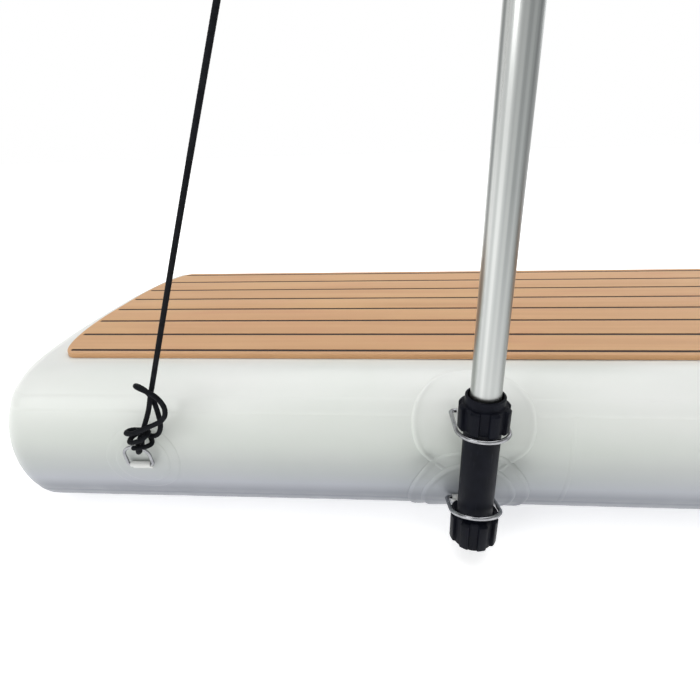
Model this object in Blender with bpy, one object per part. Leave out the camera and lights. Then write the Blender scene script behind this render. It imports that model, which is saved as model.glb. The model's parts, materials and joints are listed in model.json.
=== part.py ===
"""Inflatable gangway with a plank deck pad, two handrail stanchions and a rope.

Metres, +Z up. The origin is on the ground at the middle of the hull's underside.
+X runs along the gangway, and the stanchions and the rope stand on the -Y side.
"""

import math

import bmesh
import bpy
from mathutils import Matrix, Vector

# Fits between pieces
GAP = 0.0003
OVERRUN = 0.004

# Hull: two flat drop-stitch skins, a side band and welded tapes
HULL_LENGTH = 2.5
HULL_WIDTH = 0.632
HULL_THICKNESS = 0.2
SIDE_BULGE = 0.074
CORNER_ALONG = 0.09
CORNER_SHARE = 0.8544
SKIN = 0.0012
SEAM_HEIGHT = 0.17
TAPE_WIDTH = 0.022
TAPE = 0.0008
SIDE_FACETS = 12
CORNER_STEPS = 10

# Drop-stitch fabric: two cloths held by threads, far coarser than the real ones
CLOTH = 0.0005
CLOTH_MARGIN = 0.006
THREAD_WIDTH = 0.0015
THREAD_PITCH_ALONG = 0.25
THREAD_PITCH_ACROSS = 0.15
THREAD_END_MARGIN = 0.18
THREAD_SIDE_MARGIN = 0.1

# Deck pad: a dark foam base with teak-look planks
PLANK_PITCH = 0.06
PLANK_GROOVE = 0.006
PLANK_SEAMS = 8
PLANK_EDGE_STRIP = 0.0136
PAD_END_MARGIN = 0.078
PAD_CORNER_ALONG = 0.045
PAD_CORNER_ACROSS = 0.19
PAD_BASE = 0.002
PLANK = 0.004
PLANK_WEB = 0.0004
PAD_CORNER_STEPS = 8

# Inflation valve in the deck near the right end, on a seam between two planks
VALVE_FROM_END = 0.2
VALVE_SEAMS_FROM_MIDDLE = 0.5
VALVE_BODY_RADIUS = 0.019
VALVE_BORE_RADIUS = 0.0145
VALVE_FLANGE_RADIUS = 0.03
VALVE_FLANGE = 0.003
VALVE_DEPTH = 0.04
VALVE_GASKET = 0.0008
VALVE_NUT_RADIUS = 0.027
VALVE_NUT = 0.006
VALVE_SEAT_RADIUS = 0.0095
VALVE_SEAT_DEPTH = 0.018
VALVE_SEAT = 0.002
VALVE_LEDGE = 0.002
VALVE_STEM_RADIUS = 0.0022
VALVE_DISC_RADIUS = 0.012
VALVE_DISC = 0.0025
VALVE_BUTTON_RADIUS = 0.005
VALVE_BUTTON = 0.002
VALVE_EDGE = 0.0008
VALVE_SPIDER = 0.0022
VALVE_SPOKE_WIDTH = 0.004
VALVE_SPRING_WIRE = 0.0009
VALVE_SPRING_RADIUS = 0.0065
VALVE_SPRING_TURNS = 4
SPRING_POINTS_PER_TURN = 9
VALVE_CAP_RADIUS = 0.022
VALVE_CAP = 0.0036
VALVE_CAP_GRIP_DEPTH = 0.0016
VALVE_CAP_GRIPS = 8
VALVE_CAP_GRIP_SHARE = 0.5
VALVE_CAP_WALL = 0.0025
VALVE_CAP_PLUG_DEPTH = 0.006

# Round reinforcement patches welded to the side wall
PATCH = 0.0009
END_PATCH_RADIUS = 0.048
END_PATCH_INNER_RADIUS = 0.035
MOUNT_UPPER_PATCH_RADIUS = 0.073
MOUNT_LOWER_PATCH_RADIUS = 0.075
MOUNT_INNER_PATCH_RADIUS = 0.058
MOUNT_PATCH_HEIGHTS = (0.152, 0.0485)
PATCH_STEPS = 24

# Webbing sleeves that hold the rings' bars
WEBBING = 0.0012
WEBBING_SLIT = 0.0002
SLEEVE_LEG = 0.011
SLEEVE_STEPS = 8

# Small ring at each corner of the hull
END_RING_FROM_END = 0.2465
END_RING_HEIGHT = 0.0995
END_RING_INNER_WIDTH = 0.028
END_RING_WIRE = 0.004
END_RING_DEPTH = 0.031
END_RING_BEND = 0.003
END_RING_LEAN = math.radians(12)

# Two large rings that carry each socket
MOUNT_RING_INNER_WIDTH = 0.051
MOUNT_RING_WIRE = 0.0048
MOUNT_RING_BEND = 0.005
MOUNT_RING_HEIGHTS = (0.1665, 0.0575)
MOUNT_RING_TILTS = (math.radians(5.5), math.radians(20.5))
RING_SIDES = 6
RING_ARC_STEPS = 8
RING_BEND_STEPS = 2

# Sockets: a black tube with a lobed nut above and a lobed cap below
STANCHION_SPACING = 1.19
SOCKET_STANDOFF = 0.034
SOCKET_RADIUS = 0.02
SOCKET_TUBE_CLEARANCE = 0.0004
SOCKET_TOP = 0.202
NUT_BODY_RADIUS = 0.0235
NUT_LOBE_RADIUS = 0.0275
NUT_LOBES = 8
NUT_LOBE_ANGLE_SHARE = 0.58
LOBE_EDGE_SHARE = 0.06
NUT_CHAMFER = 0.0025
NUT_LOBE_TOP = 0.207
NUT_TOP = 0.217
NUT_MOUTH_RADIUS = 0.021
NUT_MOUTH_BORE = 0.0187
COLLET_WALL = 0.0018
COLLET_HEIGHT = 0.008
COLLET_SLIT_ANGLE = math.radians(6)
CAP_BOTTOM = 0.0215
CAP_FLOOR = 0.005
CAP_CHAMFER = 0.005
ROUND_STEPS = 20

# Stanchions
TUBE_RADIUS = 0.016
TUBE_WALL = 0.0015
HANDRAIL_HEIGHT = 0.95
FOOT_FLANGE = 0.003
FOOT_PLUG_DEPTH = 0.012
HEAD_WALL = 0.0022
HEAD_SKIRT = 0.018
HEAD_CROWN = 0.006
HEAD_EDGE = 0.003
EYE_WIRE = 0.004
EYE_INNER_RADIUS = 0.008
EYE_STEM = 0.012
EYE_STEM_RADIUS = 0.0026
EYE_STEPS = 12
EYE_SIDES = 6

# Handrail rope
ROPE_DIAMETER = 0.006

# Routes are in metres, for the left (-X) end. The knot runs from the rope's leg
# down through the ring, up to a bight and twice round the standing part.
KNOT_ROUTE = (
    (-0.9610, -0.3330, 0.2150), (-0.9656, -0.3330, 0.2020), (-0.9698, -0.3332, 0.1880),
    (-0.9735, -0.3336, 0.1780), (-0.9778, -0.3341, 0.1680), (-0.9820, -0.3346, 0.1590),
    (-0.9868, -0.3350, 0.1500), (-0.9913, -0.3352, 0.1405), (-0.9940, -0.3348, 0.1335),
    (-0.9954, -0.3336, 0.1276), (-0.9970, -0.3312, 0.1234), (-0.9979, -0.3277, 0.1216),
    (-0.9976, -0.3241, 0.1231), (-0.9965, -0.3221, 0.1272), (-0.9950, -0.3219, 0.1335),
    (-0.9925, -0.3228, 0.1398), (-0.9870, -0.3243, 0.1435), (-0.9800, -0.3262, 0.1441),
    (-0.9725, -0.3282, 0.1458), (-0.9665, -0.3293, 0.1515), (-0.9632, -0.3295, 0.1605),
    (-0.9632, -0.3286, 0.1700), (-0.9647, -0.3270, 0.1795), (-0.9667, -0.3257, 0.1885),
    (-0.9702, -0.3250, 0.1975), (-0.9745, -0.3256, 0.2050), (-0.9785, -0.3287, 0.2112),
    (-0.9792, -0.3345, 0.2158), (-0.9742, -0.3400, 0.2165), (-0.9660, -0.3412, 0.2130),
    (-0.9580, -0.3405, 0.2075), (-0.9520, -0.3400, 0.2000), (-0.9485, -0.3395, 0.1900),
    (-0.9500, -0.3395, 0.1800), (-0.9560, -0.3400, 0.1730), (-0.9640, -0.3410, 0.1690),
    (-0.9725, -0.3420, 0.1655), (-0.9810, -0.3425, 0.1615), (-0.9895, -0.3422, 0.1580),
    (-0.9968, -0.3408, 0.1556), (-1.0022, -0.3375, 0.1547), (-1.0030, -0.3313, 0.1537),
    (-0.9995, -0.3270, 0.1527), (-0.9935, -0.3260, 0.1520), (-0.9850, -0.3268, 0.1525),
    (-0.9785, -0.3315, 0.1532), (-0.9780, -0.3385, 0.1520), (-0.9840, -0.3425, 0.1485),
    (-0.9930, -0.3425, 0.1452), (-1.0000, -0.3385, 0.1435), (-1.0022, -0.3280, 0.1430),
    (-0.9972, -0.3175, 0.1428), (-0.9890, -0.3165, 0.1392), (-0.9825, -0.3218, 0.1352),
    (-0.9800, -0.3290, 0.1340), (-0.9835, -0.3372, 0.1355), (-0.9905, -0.3416, 0.1370),
    (-0.9975, -0.3425, 0.1372),
)
LOWER_LEG_ROUTE = (
    (-0.9608, -0.3330, 0.2156), (-0.9255, -0.3349, 0.3150), (-0.8895, -0.3367, 0.4150),
    (-0.8530, -0.3386, 0.5150), (-0.8163, -0.3404, 0.6150), (-0.7884, -0.3418, 0.6900),
)
UPPER_ROUTE = (
    (-0.7883, -0.3418, 0.6903), (-0.7574, -0.3433, 0.7730), (-0.7196, -0.3452, 0.8730),
    (-0.6815, -0.3471, 0.9730), (-0.6520, -0.3485, 1.0500), (-0.6326, -0.3494, 1.1000),
    (-0.6260, -0.3498, 1.1200), (-0.6200, -0.3500, 1.1335), (-0.6120, -0.3500, 1.1420),
    (-0.6030, -0.3500, 1.1450), (-0.5950, -0.3500, 1.1456), (-0.5850, -0.3500, 1.1454),
    (-0.5650, -0.3500, 1.1442), (-0.5200, -0.3500, 1.1410), (-0.4250, -0.3500, 1.1346),
    (-0.2850, -0.3500, 1.1275), (-0.1425, -0.3500, 1.1235), (-0.0002, -0.3500, 1.1222),
)
KNOT_STEPS = 1
LEG_STEPS = 2
UPPER_STEPS = 2

# Heights worked out from the sizes above
DECK_TOP = HULL_THICKNESS
HALF_WIDTH = HULL_WIDTH / 2
CORNER_ACROSS = HALF_WIDTH * CORNER_SHARE
HALF_LENGTH = HULL_LENGTH / 2
PAD_BASE_Z = DECK_TOP + GAP
PLANK_Z = PAD_BASE_Z + PAD_BASE + GAP
VALVE_X = HALF_LENGTH - VALVE_FROM_END
VALVE_Y = VALVE_SEAMS_FROM_MIDDLE * PLANK_PITCH
SOCKET_Y = -(HALF_WIDTH + SOCKET_STANDOFF)
BORE_RADIUS = TUBE_RADIUS + SOCKET_TUBE_CLEARANCE
MOUNT_RING_HALF = (MOUNT_RING_INNER_WIDTH + MOUNT_RING_WIRE) / 2
RING_REACH = MOUNT_RING_WIRE / 2 + GAP
OVER_TAPE = GAP * 2 + TAPE
OVER_PATCH = OVER_TAPE + PATCH + GAP
MOUNT_LAYERS = (OVER_PATCH, OVER_PATCH + PATCH, OVER_PATCH + PATCH * 2)


def clear_scene():
    for obj in list(bpy.data.objects):
        bpy.data.objects.remove(obj, do_unlink=True)


def make_material(name, colour, roughness, metallic=0.0):
    material = bpy.data.materials.new(name)
    material.use_nodes = True
    shader = material.node_tree.nodes["Principled BSDF"]
    shader.inputs["Base Color"].default_value = (*colour, 1.0)
    shader.inputs["Roughness"].default_value = roughness
    shader.inputs["Metallic"].default_value = metallic
    return material


def add_object(name, verts, faces, material, origin=(0.0, 0.0, 0.0), smooth=True):
    """Add a mesh object. Its vertices are given relative to origin."""
    mesh = bpy.data.meshes.new(name)
    mesh.from_pydata([tuple(v) for v in verts], [], faces)
    bm = bmesh.new()
    bm.from_mesh(mesh)
    bmesh.ops.recalc_face_normals(bm, faces=bm.faces[:])
    if bm.calc_volume(signed=True) < 0:
        bmesh.ops.reverse_faces(bm, faces=bm.faces[:])
    bm.to_mesh(mesh)
    bm.free()
    if smooth:
        mesh.shade_smooth()
        mesh.set_sharp_from_angle(angle=math.radians(35))
    mesh.materials.append(material)
    obj = bpy.data.objects.new(name, mesh)
    obj.location = origin
    bpy.context.scene.collection.objects.link(obj)
    return obj


def joined(parts):
    """Join several (verts, faces) solids into one list of each."""
    verts, faces = [], []
    for part_verts, part_faces in parts:
        start = len(verts)
        verts.extend(part_verts)
        faces.extend([tuple(i + start for i in face) for face in part_faces])
    return verts, faces


def cut(obj, cutter):
    cutter.hide_render = True
    cutter.display_type = "WIRE"
    modifier = obj.modifiers.new("cut", "BOOLEAN")
    modifier.operation = "DIFFERENCE"
    modifier.solver = "EXACT"
    modifier.object = cutter


def loft(rows, capped=True):
    """Skin a list of equal rings of points. Ends are capped, or row joins row."""
    verts = [point for row in rows for point in row]
    count = len(rows[0])
    faces = []
    last = len(rows) if not capped else len(rows) - 1
    for r in range(last):
        here, there = r * count, ((r + 1) % len(rows)) * count
        for i in range(count):
            j = (i + 1) % count
            faces.append((here + i, here + j, there + j, there + i))
    if capped:
        faces.append(tuple(range(count)))
        faces.append(tuple(range((len(rows) - 1) * count, len(rows) * count)))
    return verts, faces


def prism(outline, low, high):
    """A solid of one flat outline between two heights."""
    return loft([[(x, y, low) for x, y in outline], [(x, y, high) for x, y in outline]])


def turned(profile, steps=ROUND_STEPS, hollow=False):
    """Turn (radius, height) points round Z: hollow joins the last to the first."""
    rows = []
    for radius, height in profile:
        rows.append([(radius * math.cos(t), radius * math.sin(t), height)
                     for t in angles(steps)])
    return loft(rows, capped=not hollow)


def angles(steps):
    return [2 * math.pi * i / steps for i in range(steps)]


def mirrored_x(points):
    return [(-x, y, z) for x, y, z in points]


# Hull surface


def rounded_outline(half_length, half_width, along, across, steps):
    """A rectangle with elliptical corners, anticlockwise."""
    points = []
    for sx, sy, start in ((1, 1, 0.0), (-1, 1, 0.5), (-1, -1, 1.0), (1, -1, 1.5)):
        for i in range(steps + 1):
            t = math.pi * (start + 0.5 * i / steps)
            x = sx * (half_length - along) + along * math.cos(t)
            y = sy * (half_width - across) + across * math.sin(t)
            points.append((x, y))
    return points


def hull_outline(inset):
    return rounded_outline(HALF_LENGTH - inset, HALF_WIDTH - inset,
                           CORNER_ALONG - inset, CORNER_ACROSS - inset, CORNER_STEPS)


def side_profile():
    """The side wall's corners as (inset, height), from the underside to the deck."""
    half = HULL_THICKNESS / 2
    points = []
    for i in range(SIDE_FACETS + 1):
        t = math.pi * (i / SIDE_FACETS - 0.5)
        points.append(Vector((SIDE_BULGE * (1 - math.cos(t)), half + half * math.sin(t))))
    return points


PROFILE = side_profile()


def profile_lengths():
    lengths = [0.0]
    for a, b in zip(PROFILE, PROFILE[1:]):
        lengths.append(lengths[-1] + (b - a).length)
    return lengths


LENGTHS = profile_lengths()
WALL_LENGTH = LENGTHS[-1]


def facet_normal(index):
    edge = (PROFILE[index + 1] - PROFILE[index]).normalized()
    return Vector((-edge.y, edge.x))


def corner_offset(index):
    """The step that moves corner index outwards by one, with its facets parallel."""
    if index == 0:
        return Vector((0.0, -1.0))
    if index == SIDE_FACETS:
        return Vector((0.0, 1.0))
    a, b = facet_normal(index - 1), facet_normal(index)
    middle = (a + b).normalized()
    return middle / middle.dot(a)


def facet_at(s):
    for index in range(SIDE_FACETS):
        if s <= LENGTHS[index + 1]:
            return index
    return SIDE_FACETS - 1


def profile_at(s, proud):
    """(inset, height) at arc length s up the wall, proud of it by some amount."""
    for index, length in enumerate(LENGTHS):
        if abs(s - length) < GAP * GAP:
            return PROFILE[index] + corner_offset(index) * proud
    index = facet_at(s)
    share = (s - LENGTHS[index]) / (LENGTHS[index + 1] - LENGTHS[index])
    flat = PROFILE[index].lerp(PROFILE[index + 1], share)
    return flat + facet_normal(index) * proud


def wall_length_at(height):
    for index in range(SIDE_FACETS):
        a, b = PROFILE[index], PROFILE[index + 1]
        if a.y <= height <= b.y:
            return LENGTHS[index] + (b - a).length * (height - a.y) / (b.y - a.y)
    return WALL_LENGTH


SEAMS = (WALL_LENGTH - wall_length_at(SEAM_HEIGHT), wall_length_at(SEAM_HEIGHT))


def shared_rows():
    """Arc lengths where every layer of the hull has a row of corners."""
    rows = list(LENGTHS)
    for seam in SEAMS:
        rows += [seam - TAPE_WIDTH / 2, seam, seam + TAPE_WIDTH / 2]
    return sorted(rows)


ROWS = shared_rows()


def stretch(low, high, proud):
    """Profile points from low to high, with every shared row between them."""
    inner = [s for s in ROWS if low + GAP * GAP < s < high - GAP * GAP]
    return [profile_at(s, proud) for s in [low] + inner + [high]]


def hull_ring(point):
    inset, height = point
    return [(x, y, height) for x, y in hull_outline(inset)]


def wall_band(low, high, inner, outer):
    """A closed band round the hull, from inner to outer proud of its surface."""
    section = stretch(low, high, outer) + stretch(low, high, inner)[::-1]
    return loft([hull_ring(point) for point in section], capped=False)


def wall_point(x, s, proud, side):
    inset, height = profile_at(s, proud)
    return (x, side * (HALF_WIDTH - inset), height)


def wall_disc(x, s, radius, inner, outer, side):
    """A round patch bent over the wall's facets."""
    rim = []
    for t in angles(PATCH_STEPS):
        rim.append((x + radius * math.cos(t), s + radius * math.sin(t)))
    loop = []
    for (xa, sa), (xb, sb) in zip(rim, rim[1:] + rim[:1]):
        loop.append((xa, sa))
        crossings = [c for c in LENGTHS if min(sa, sb) < c < max(sa, sb)]
        for c in sorted(crossings, reverse=sb < sa):
            loop.append((xa + (xb - xa) * (c - sa) / (sb - sa), c))
    count = len(loop)
    verts = [wall_point(px, ps, outer, side) for px, ps in loop]
    verts += [wall_point(px, ps, inner, side) for px, ps in loop]
    faces = [(i, (i + 1) % count, (i + 1) % count + count, i + count) for i in range(count)]
    slack = GAP * GAP
    for low, high in zip(LENGTHS, LENGTHS[1:]):
        strip = [i for i, (px, ps) in enumerate(loop) if low - slack <= ps <= high + slack]
        if len(strip) > 2:
            faces.append(tuple(strip))
            faces.append(tuple(i + count for i in strip))
    return verts, faces


def wall_frame(x, height, side, proud):
    """A matrix at the wall: X along the hull, Y up the wall, Z out of the wall."""
    s = wall_length_at(height)
    index = facet_at(s)
    edge = (PROFILE[index + 1] - PROFILE[index]).normalized()
    out = facet_normal(index)
    up = Vector((0.0, -side * edge.x, edge.y))
    normal = Vector((0.0, -side * out.x, out.y))
    along = up.cross(normal)
    frame = Matrix((along, up, normal)).transposed().to_4x4()
    frame.translation = Vector(wall_point(x, s, proud, side))
    return frame


def build_hull(white, fabric):
    other, joint = SEAMS
    half_gap = GAP / 2
    top_rows = stretch(joint + half_gap, WALL_LENGTH, 0.0)
    top_rows += stretch(joint + half_gap, WALL_LENGTH, -SKIN)[::-1]
    base_rows = stretch(0.0, other - half_gap, -SKIN)[::-1]
    base_rows += stretch(0.0, other - half_gap, 0.0)

    verts, faces = skin_solid(top_rows)
    top = add_object("hull_top_skin", verts, faces, white)
    cut(top, valve_cutter("cut_skin", VALVE_BODY_RADIUS + GAP))
    verts, faces = skin_solid(base_rows)
    add_object("hull_bottom_skin", verts, faces, white)
    verts, faces = wall_band(other + half_gap, joint - half_gap, -SKIN, 0.0)
    add_object("hull_side_band", verts, faces, white)
    for name, middle in (("seam_tape_upper", joint), ("seam_tape_lower", other)):
        verts, faces = wall_band(middle - TAPE_WIDTH / 2, middle + TAPE_WIDTH / 2,
                                 GAP, GAP + TAPE)
        add_object(name, verts, faces, white)
    build_drop_stitch(fabric)


def skin_solid(rows):
    """A shallow tray: rings out over the shoulder and back, capped at both rims."""
    rings = [hull_ring(point) for point in rows]
    middle = len(rings) // 2
    verts, faces = loft(rings, capped=False)
    count = len(rings[0])
    faces = [face for face in faces if not crosses(face, middle - 1, middle, count)]
    faces.append(tuple(range((middle - 1) * count, middle * count)))
    faces.append(tuple(range(middle * count, (middle + 1) * count)))
    return verts, faces


def crosses(face, row_a, row_b, count):
    rows = {index // count for index in face}
    return rows == {row_a, row_b}


def spread(half, pitch):
    """Evenly pitched places from -half to half, centred on zero."""
    count = int(half / pitch)
    return [pitch * i for i in range(-count, count + 1)]


def build_drop_stitch(fabric):
    low = SKIN + GAP
    high = HULL_THICKNESS - low
    outline = hull_outline(SIDE_BULGE + CLOTH_MARGIN)
    half = THREAD_WIDTH / 2
    threads = []
    for x in spread(HALF_LENGTH - THREAD_END_MARGIN, THREAD_PITCH_ALONG):
        for y in spread(HALF_WIDTH - THREAD_SIDE_MARGIN, THREAD_PITCH_ACROSS):
            if math.hypot(x - VALVE_X, y - VALVE_Y) < VALVE_NUT_RADIUS + THREAD_WIDTH:
                continue
            square = [(x - half, y - half), (x + half, y - half),
                      (x + half, y + half), (x - half, y + half)]
            threads.append(prism(square, low + CLOTH / 2, high - CLOTH / 2))
    cloth = add_object("drop_stitch_fabric", *prism(outline, low, low + CLOTH), fabric,
                       smooth=False)
    for name, solid in (("upper_cloth", prism(outline, high - CLOTH, high)),
                        ("threads", joined(threads))):
        fuse(cloth, add_object(name, *solid, fabric, smooth=False))
    cut(cloth, valve_cutter("cut_cloth", VALVE_NUT_RADIUS + GAP))


# Deck pad


def build_deck_pad(teak, caulk):
    to_outer_seam = PLANK_PITCH * (PLANK_SEAMS - 1) / 2
    half_width = to_outer_seam + PLANK_EDGE_STRIP
    outline = rounded_outline(HALF_LENGTH - PAD_END_MARGIN, half_width,
                              PAD_CORNER_ALONG, PAD_CORNER_ACROSS, PAD_CORNER_STEPS)
    pad_cutter = valve_cutter("cut_pad", VALVE_FLANGE_RADIUS + PLANK)
    verts, faces = prism(outline, PAD_BASE_Z, PAD_BASE_Z + PAD_BASE)
    cut(add_object("deck_pad_base", verts, faces, caulk, smooth=False), pad_cutter)

    verts, faces = prism(outline, PLANK_Z, PLANK_Z + PLANK)
    planks = add_object("deck_pad_planks", verts, faces, teak, smooth=False)
    half_groove = PLANK_GROOVE / 2
    grooves = []
    for i in range(PLANK_SEAMS):
        y = PLANK_PITCH * i - to_outer_seam
        square = [(-HALF_LENGTH, y - half_groove), (HALF_LENGTH, y - half_groove),
                  (HALF_LENGTH, y + half_groove), (-HALF_LENGTH, y + half_groove)]
        grooves.append(prism(square, PLANK_Z + PLANK_WEB, PLANK_Z + PLANK + OVERRUN))
    cut(planks, add_object("grooves", *joined(grooves), caulk, smooth=False))
    cut(planks, pad_cutter)


def valve_cutter(name, radius):
    verts, faces = turned([(radius, DECK_TOP - VALVE_DEPTH), (radius, PLANK_Z + PLANK + OVERRUN)])
    cutter = add_object(name, verts, faces, make_material(name, (1.0, 0.0, 0.0), 1.0),
                        origin=(VALVE_X, VALVE_Y, 0.0))
    cutter.hide_render = True
    cutter.display_type = "WIRE"
    return cutter


# Valve


def lobed(levels, lobes, lobe_share):
    """Rings whose radius steps between lobe and groove, for (lobe, groove, z) levels."""
    rows = []
    pitch = 2 * math.pi / lobes
    for lobe_radius, groove_radius, height in levels:
        row = []
        for k in range(lobes):
            for start, share, radius, count in ((0.0, lobe_share, lobe_radius, 3),
                                                (lobe_share, 1 - lobe_share, groove_radius, 2)):
                for i in range(count):
                    place = LOBE_EDGE_SHARE + (1 - 2 * LOBE_EDGE_SHARE) * i / (count - 1)
                    t = pitch * (k + start + share * place)
                    row.append((radius * math.cos(t), radius * math.sin(t), height))
        rows.append(row)
    return rows


def build_valve(plastic, rubber, steel):
    place = (VALVE_X, VALVE_Y, DECK_TOP)
    flange_low = GAP + VALVE_GASKET + GAP
    flange_high = flange_low + VALVE_FLANGE
    bottom = -VALVE_DEPTH
    seat_high = -VALVE_SEAT_DEPTH
    seat_low = seat_high - VALVE_SEAT
    ledge_radius = VALVE_BORE_RADIUS - VALVE_LEDGE

    body = [
        (ledge_radius, bottom), (VALVE_BODY_RADIUS, bottom),
        (VALVE_BODY_RADIUS, flange_low), (VALVE_FLANGE_RADIUS, flange_low),
        (VALVE_FLANGE_RADIUS, flange_high - VALVE_EDGE),
        (VALVE_FLANGE_RADIUS - VALVE_EDGE, flange_high),
        (VALVE_BORE_RADIUS, flange_high), (VALVE_BORE_RADIUS, seat_high),
        (VALVE_SEAT_RADIUS, seat_high), (VALVE_SEAT_RADIUS, seat_low),
        (VALVE_BORE_RADIUS, seat_low), (VALVE_BORE_RADIUS, bottom + VALVE_LEDGE),
        (ledge_radius, bottom + VALVE_LEDGE),
    ]
    verts, faces = turned(body, hollow=True)
    housing = add_object("valve_body", verts, faces, plastic, origin=place)

    inner, outer = VALVE_BODY_RADIUS + GAP, VALVE_FLANGE_RADIUS - VALVE_EDGE
    verts, faces = turned([(inner, GAP), (outer, GAP), (outer, GAP + VALVE_GASKET),
                           (inner, GAP + VALVE_GASKET)], hollow=True)
    add_object("valve_gasket", verts, faces, rubber, origin=place)

    nut_top = -SKIN - GAP
    verts, faces = turned([(inner, nut_top - VALVE_NUT), (VALVE_NUT_RADIUS, nut_top - VALVE_NUT),
                           (VALVE_NUT_RADIUS, nut_top), (inner, nut_top)], hollow=True)
    add_object("valve_clamp_nut", verts, faces, plastic, origin=place)

    spider_low = bottom + VALVE_LEDGE
    spider_high = spider_low + VALVE_SPIDER
    fuse(housing, add_object("spider", *spider_solid(spider_low, spider_high), plastic))

    disc_high = seat_low - GAP
    disc_low = disc_high - VALVE_DISC
    button_high = -VALVE_BUTTON
    stem_low = spider_high - VALVE_SPIDER / 2
    poppet = [
        (VALVE_STEM_RADIUS, stem_low), (VALVE_STEM_RADIUS, disc_low),
        (VALVE_DISC_RADIUS, disc_low), (VALVE_DISC_RADIUS, disc_high),
        (VALVE_STEM_RADIUS, disc_high), (VALVE_STEM_RADIUS, button_high - VALVE_BUTTON),
        (VALVE_BUTTON_RADIUS, button_high - VALVE_BUTTON), (VALVE_BUTTON_RADIUS, button_high),
    ]
    verts, faces = turned(poppet, steps=16)
    add_object("valve_poppet", verts, faces, plastic, origin=place)

    radius = VALVE_SPRING_WIRE / 2
    coil_low = spider_high + radius + GAP
    coil_high = disc_low - radius - GAP
    build_coil("valve_spring", place, coil_low, coil_high, steel)

    build_valve_cap(place, flange_high + GAP, plastic)


def build_valve_cap(place, low, plastic):
    grip, groove = VALVE_CAP_RADIUS, VALVE_CAP_RADIUS - VALVE_CAP_GRIP_DEPTH
    high = low + VALVE_CAP
    outside = lobed([(grip, groove, low), (grip, groove, high - VALVE_EDGE),
                     (grip - VALVE_EDGE, groove - VALVE_EDGE, high)], VALVE_CAP_GRIPS,
                    VALVE_CAP_GRIP_SHARE)
    plug = VALVE_BORE_RADIUS - GAP
    inside = [scaled_ring(outside[0], radius, height) for radius, height in (
        (plug - VALVE_CAP_WALL, low + VALVE_CAP / 2),
        (plug - VALVE_CAP_WALL, -VALVE_CAP_PLUG_DEPTH),
        (plug, -VALVE_CAP_PLUG_DEPTH), (plug, low))]
    add_object("valve_cap", *loft(inside + outside), plastic, origin=place)


def scaled_ring(row, radius, height):
    """A true circle with its points at the same angles as row."""
    ring = []
    for x, y, _ in row:
        length = math.hypot(x, y)
        ring.append((x * radius / length, y * radius / length, height))
    return ring


def spider_solid(low, high):
    """A three-armed guide with a hole for the stem. Its arms end inside the body."""
    hole = VALVE_STEM_RADIUS + GAP
    hub = hole + VALVE_LEDGE
    reach = (VALVE_BORE_RADIUS + VALVE_BODY_RADIUS) / 2
    half = VALVE_SPOKE_WIDTH / 2
    root, tip = math.asin(half / hub), math.asin(half / reach)
    third = 2 * math.pi / 3
    outer = []
    for arm in range(3):
        corners = [(hub, -root), (reach, -tip), (reach, tip), (hub, root)]
        corners += [(hub, root + (third - 2 * root) * step / 3) for step in (1, 2)]
        for radius, turn in corners:
            t = third * arm + turn
            outer.append((radius * math.cos(t), radius * math.sin(t)))
    inner = [(hole * math.cos(t - root), hole * math.sin(t - root)) for t in angles(len(outer))]
    rows = [[(x, y, low) for x, y in inner], [(x, y, low) for x, y in outer],
            [(x, y, high) for x, y in outer], [(x, y, high) for x, y in inner]]
    return loft(rows, capped=False)


def build_coil(name, place, low, high, material):
    count = VALVE_SPRING_TURNS * SPRING_POINTS_PER_TURN
    curve = bpy.data.curves.new(name, "CURVE")
    curve.dimensions = "3D"
    curve.bevel_depth = VALVE_SPRING_WIRE / 2
    curve.bevel_resolution = 1
    curve.use_fill_caps = True
    spline = curve.splines.new("POLY")
    spline.points.add(count)
    for i, point in enumerate(spline.points):
        t = 2 * math.pi * i / SPRING_POINTS_PER_TURN
        point.co = (VALVE_SPRING_RADIUS * math.cos(t), VALVE_SPRING_RADIUS * math.sin(t),
                    low + (high - low) * i / count, 1.0)
    curve.materials.append(material)
    obj = bpy.data.objects.new(name, curve)
    obj.location = place
    bpy.context.scene.collection.objects.link(obj)


# Rings and their sleeves


def ring_path(half, depth, bend):
    """A D in its own plane: a bar on the X axis, and an arch that reaches y = depth."""
    path = []
    for i in range(RING_BEND_STEPS + 1):
        t = math.pi * (1.5 + 0.5 * i / RING_BEND_STEPS)
        path.append((half - bend + bend * math.cos(t), bend + bend * math.sin(t)))
    for i in range(RING_ARC_STEPS + 1):
        t = math.pi * i / RING_ARC_STEPS
        path.append((half * math.cos(t), depth - half + half * math.sin(t)))
    for i in range(RING_BEND_STEPS + 1):
        t = math.pi * (1.0 + 0.5 * i / RING_BEND_STEPS)
        path.append((-half + bend + bend * math.cos(t), bend + bend * math.sin(t)))
    return [Vector((x, y, 0.0)) for x, y in path]


def closed_tube(path, radius, sides):
    """A round wire that follows a closed flat path in the XY plane."""
    rows = []
    count = len(path)
    for i, point in enumerate(path):
        before = (point - path[i - 1]).normalized()
        after = (path[(i + 1) % count] - point).normalized()
        along = (before + after).normalized()
        out = Vector((along.y, -along.x, 0.0)) / max(along.dot(after), 0.5)
        rows.append([tuple(point + out * radius * math.cos(t) +
                           Vector((0.0, 0.0, radius * math.sin(t)))) for t in angles(sides)])
    return loft(rows, capped=False)


def ring_solid(inner_width, wire, depth, bend):
    half = (inner_width + wire) / 2
    return closed_tube(ring_path(half, depth, bend), wire / 2, RING_SIDES)


def sleeve_radius(wire):
    return wire / 2 + GAP + WEBBING


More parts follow.
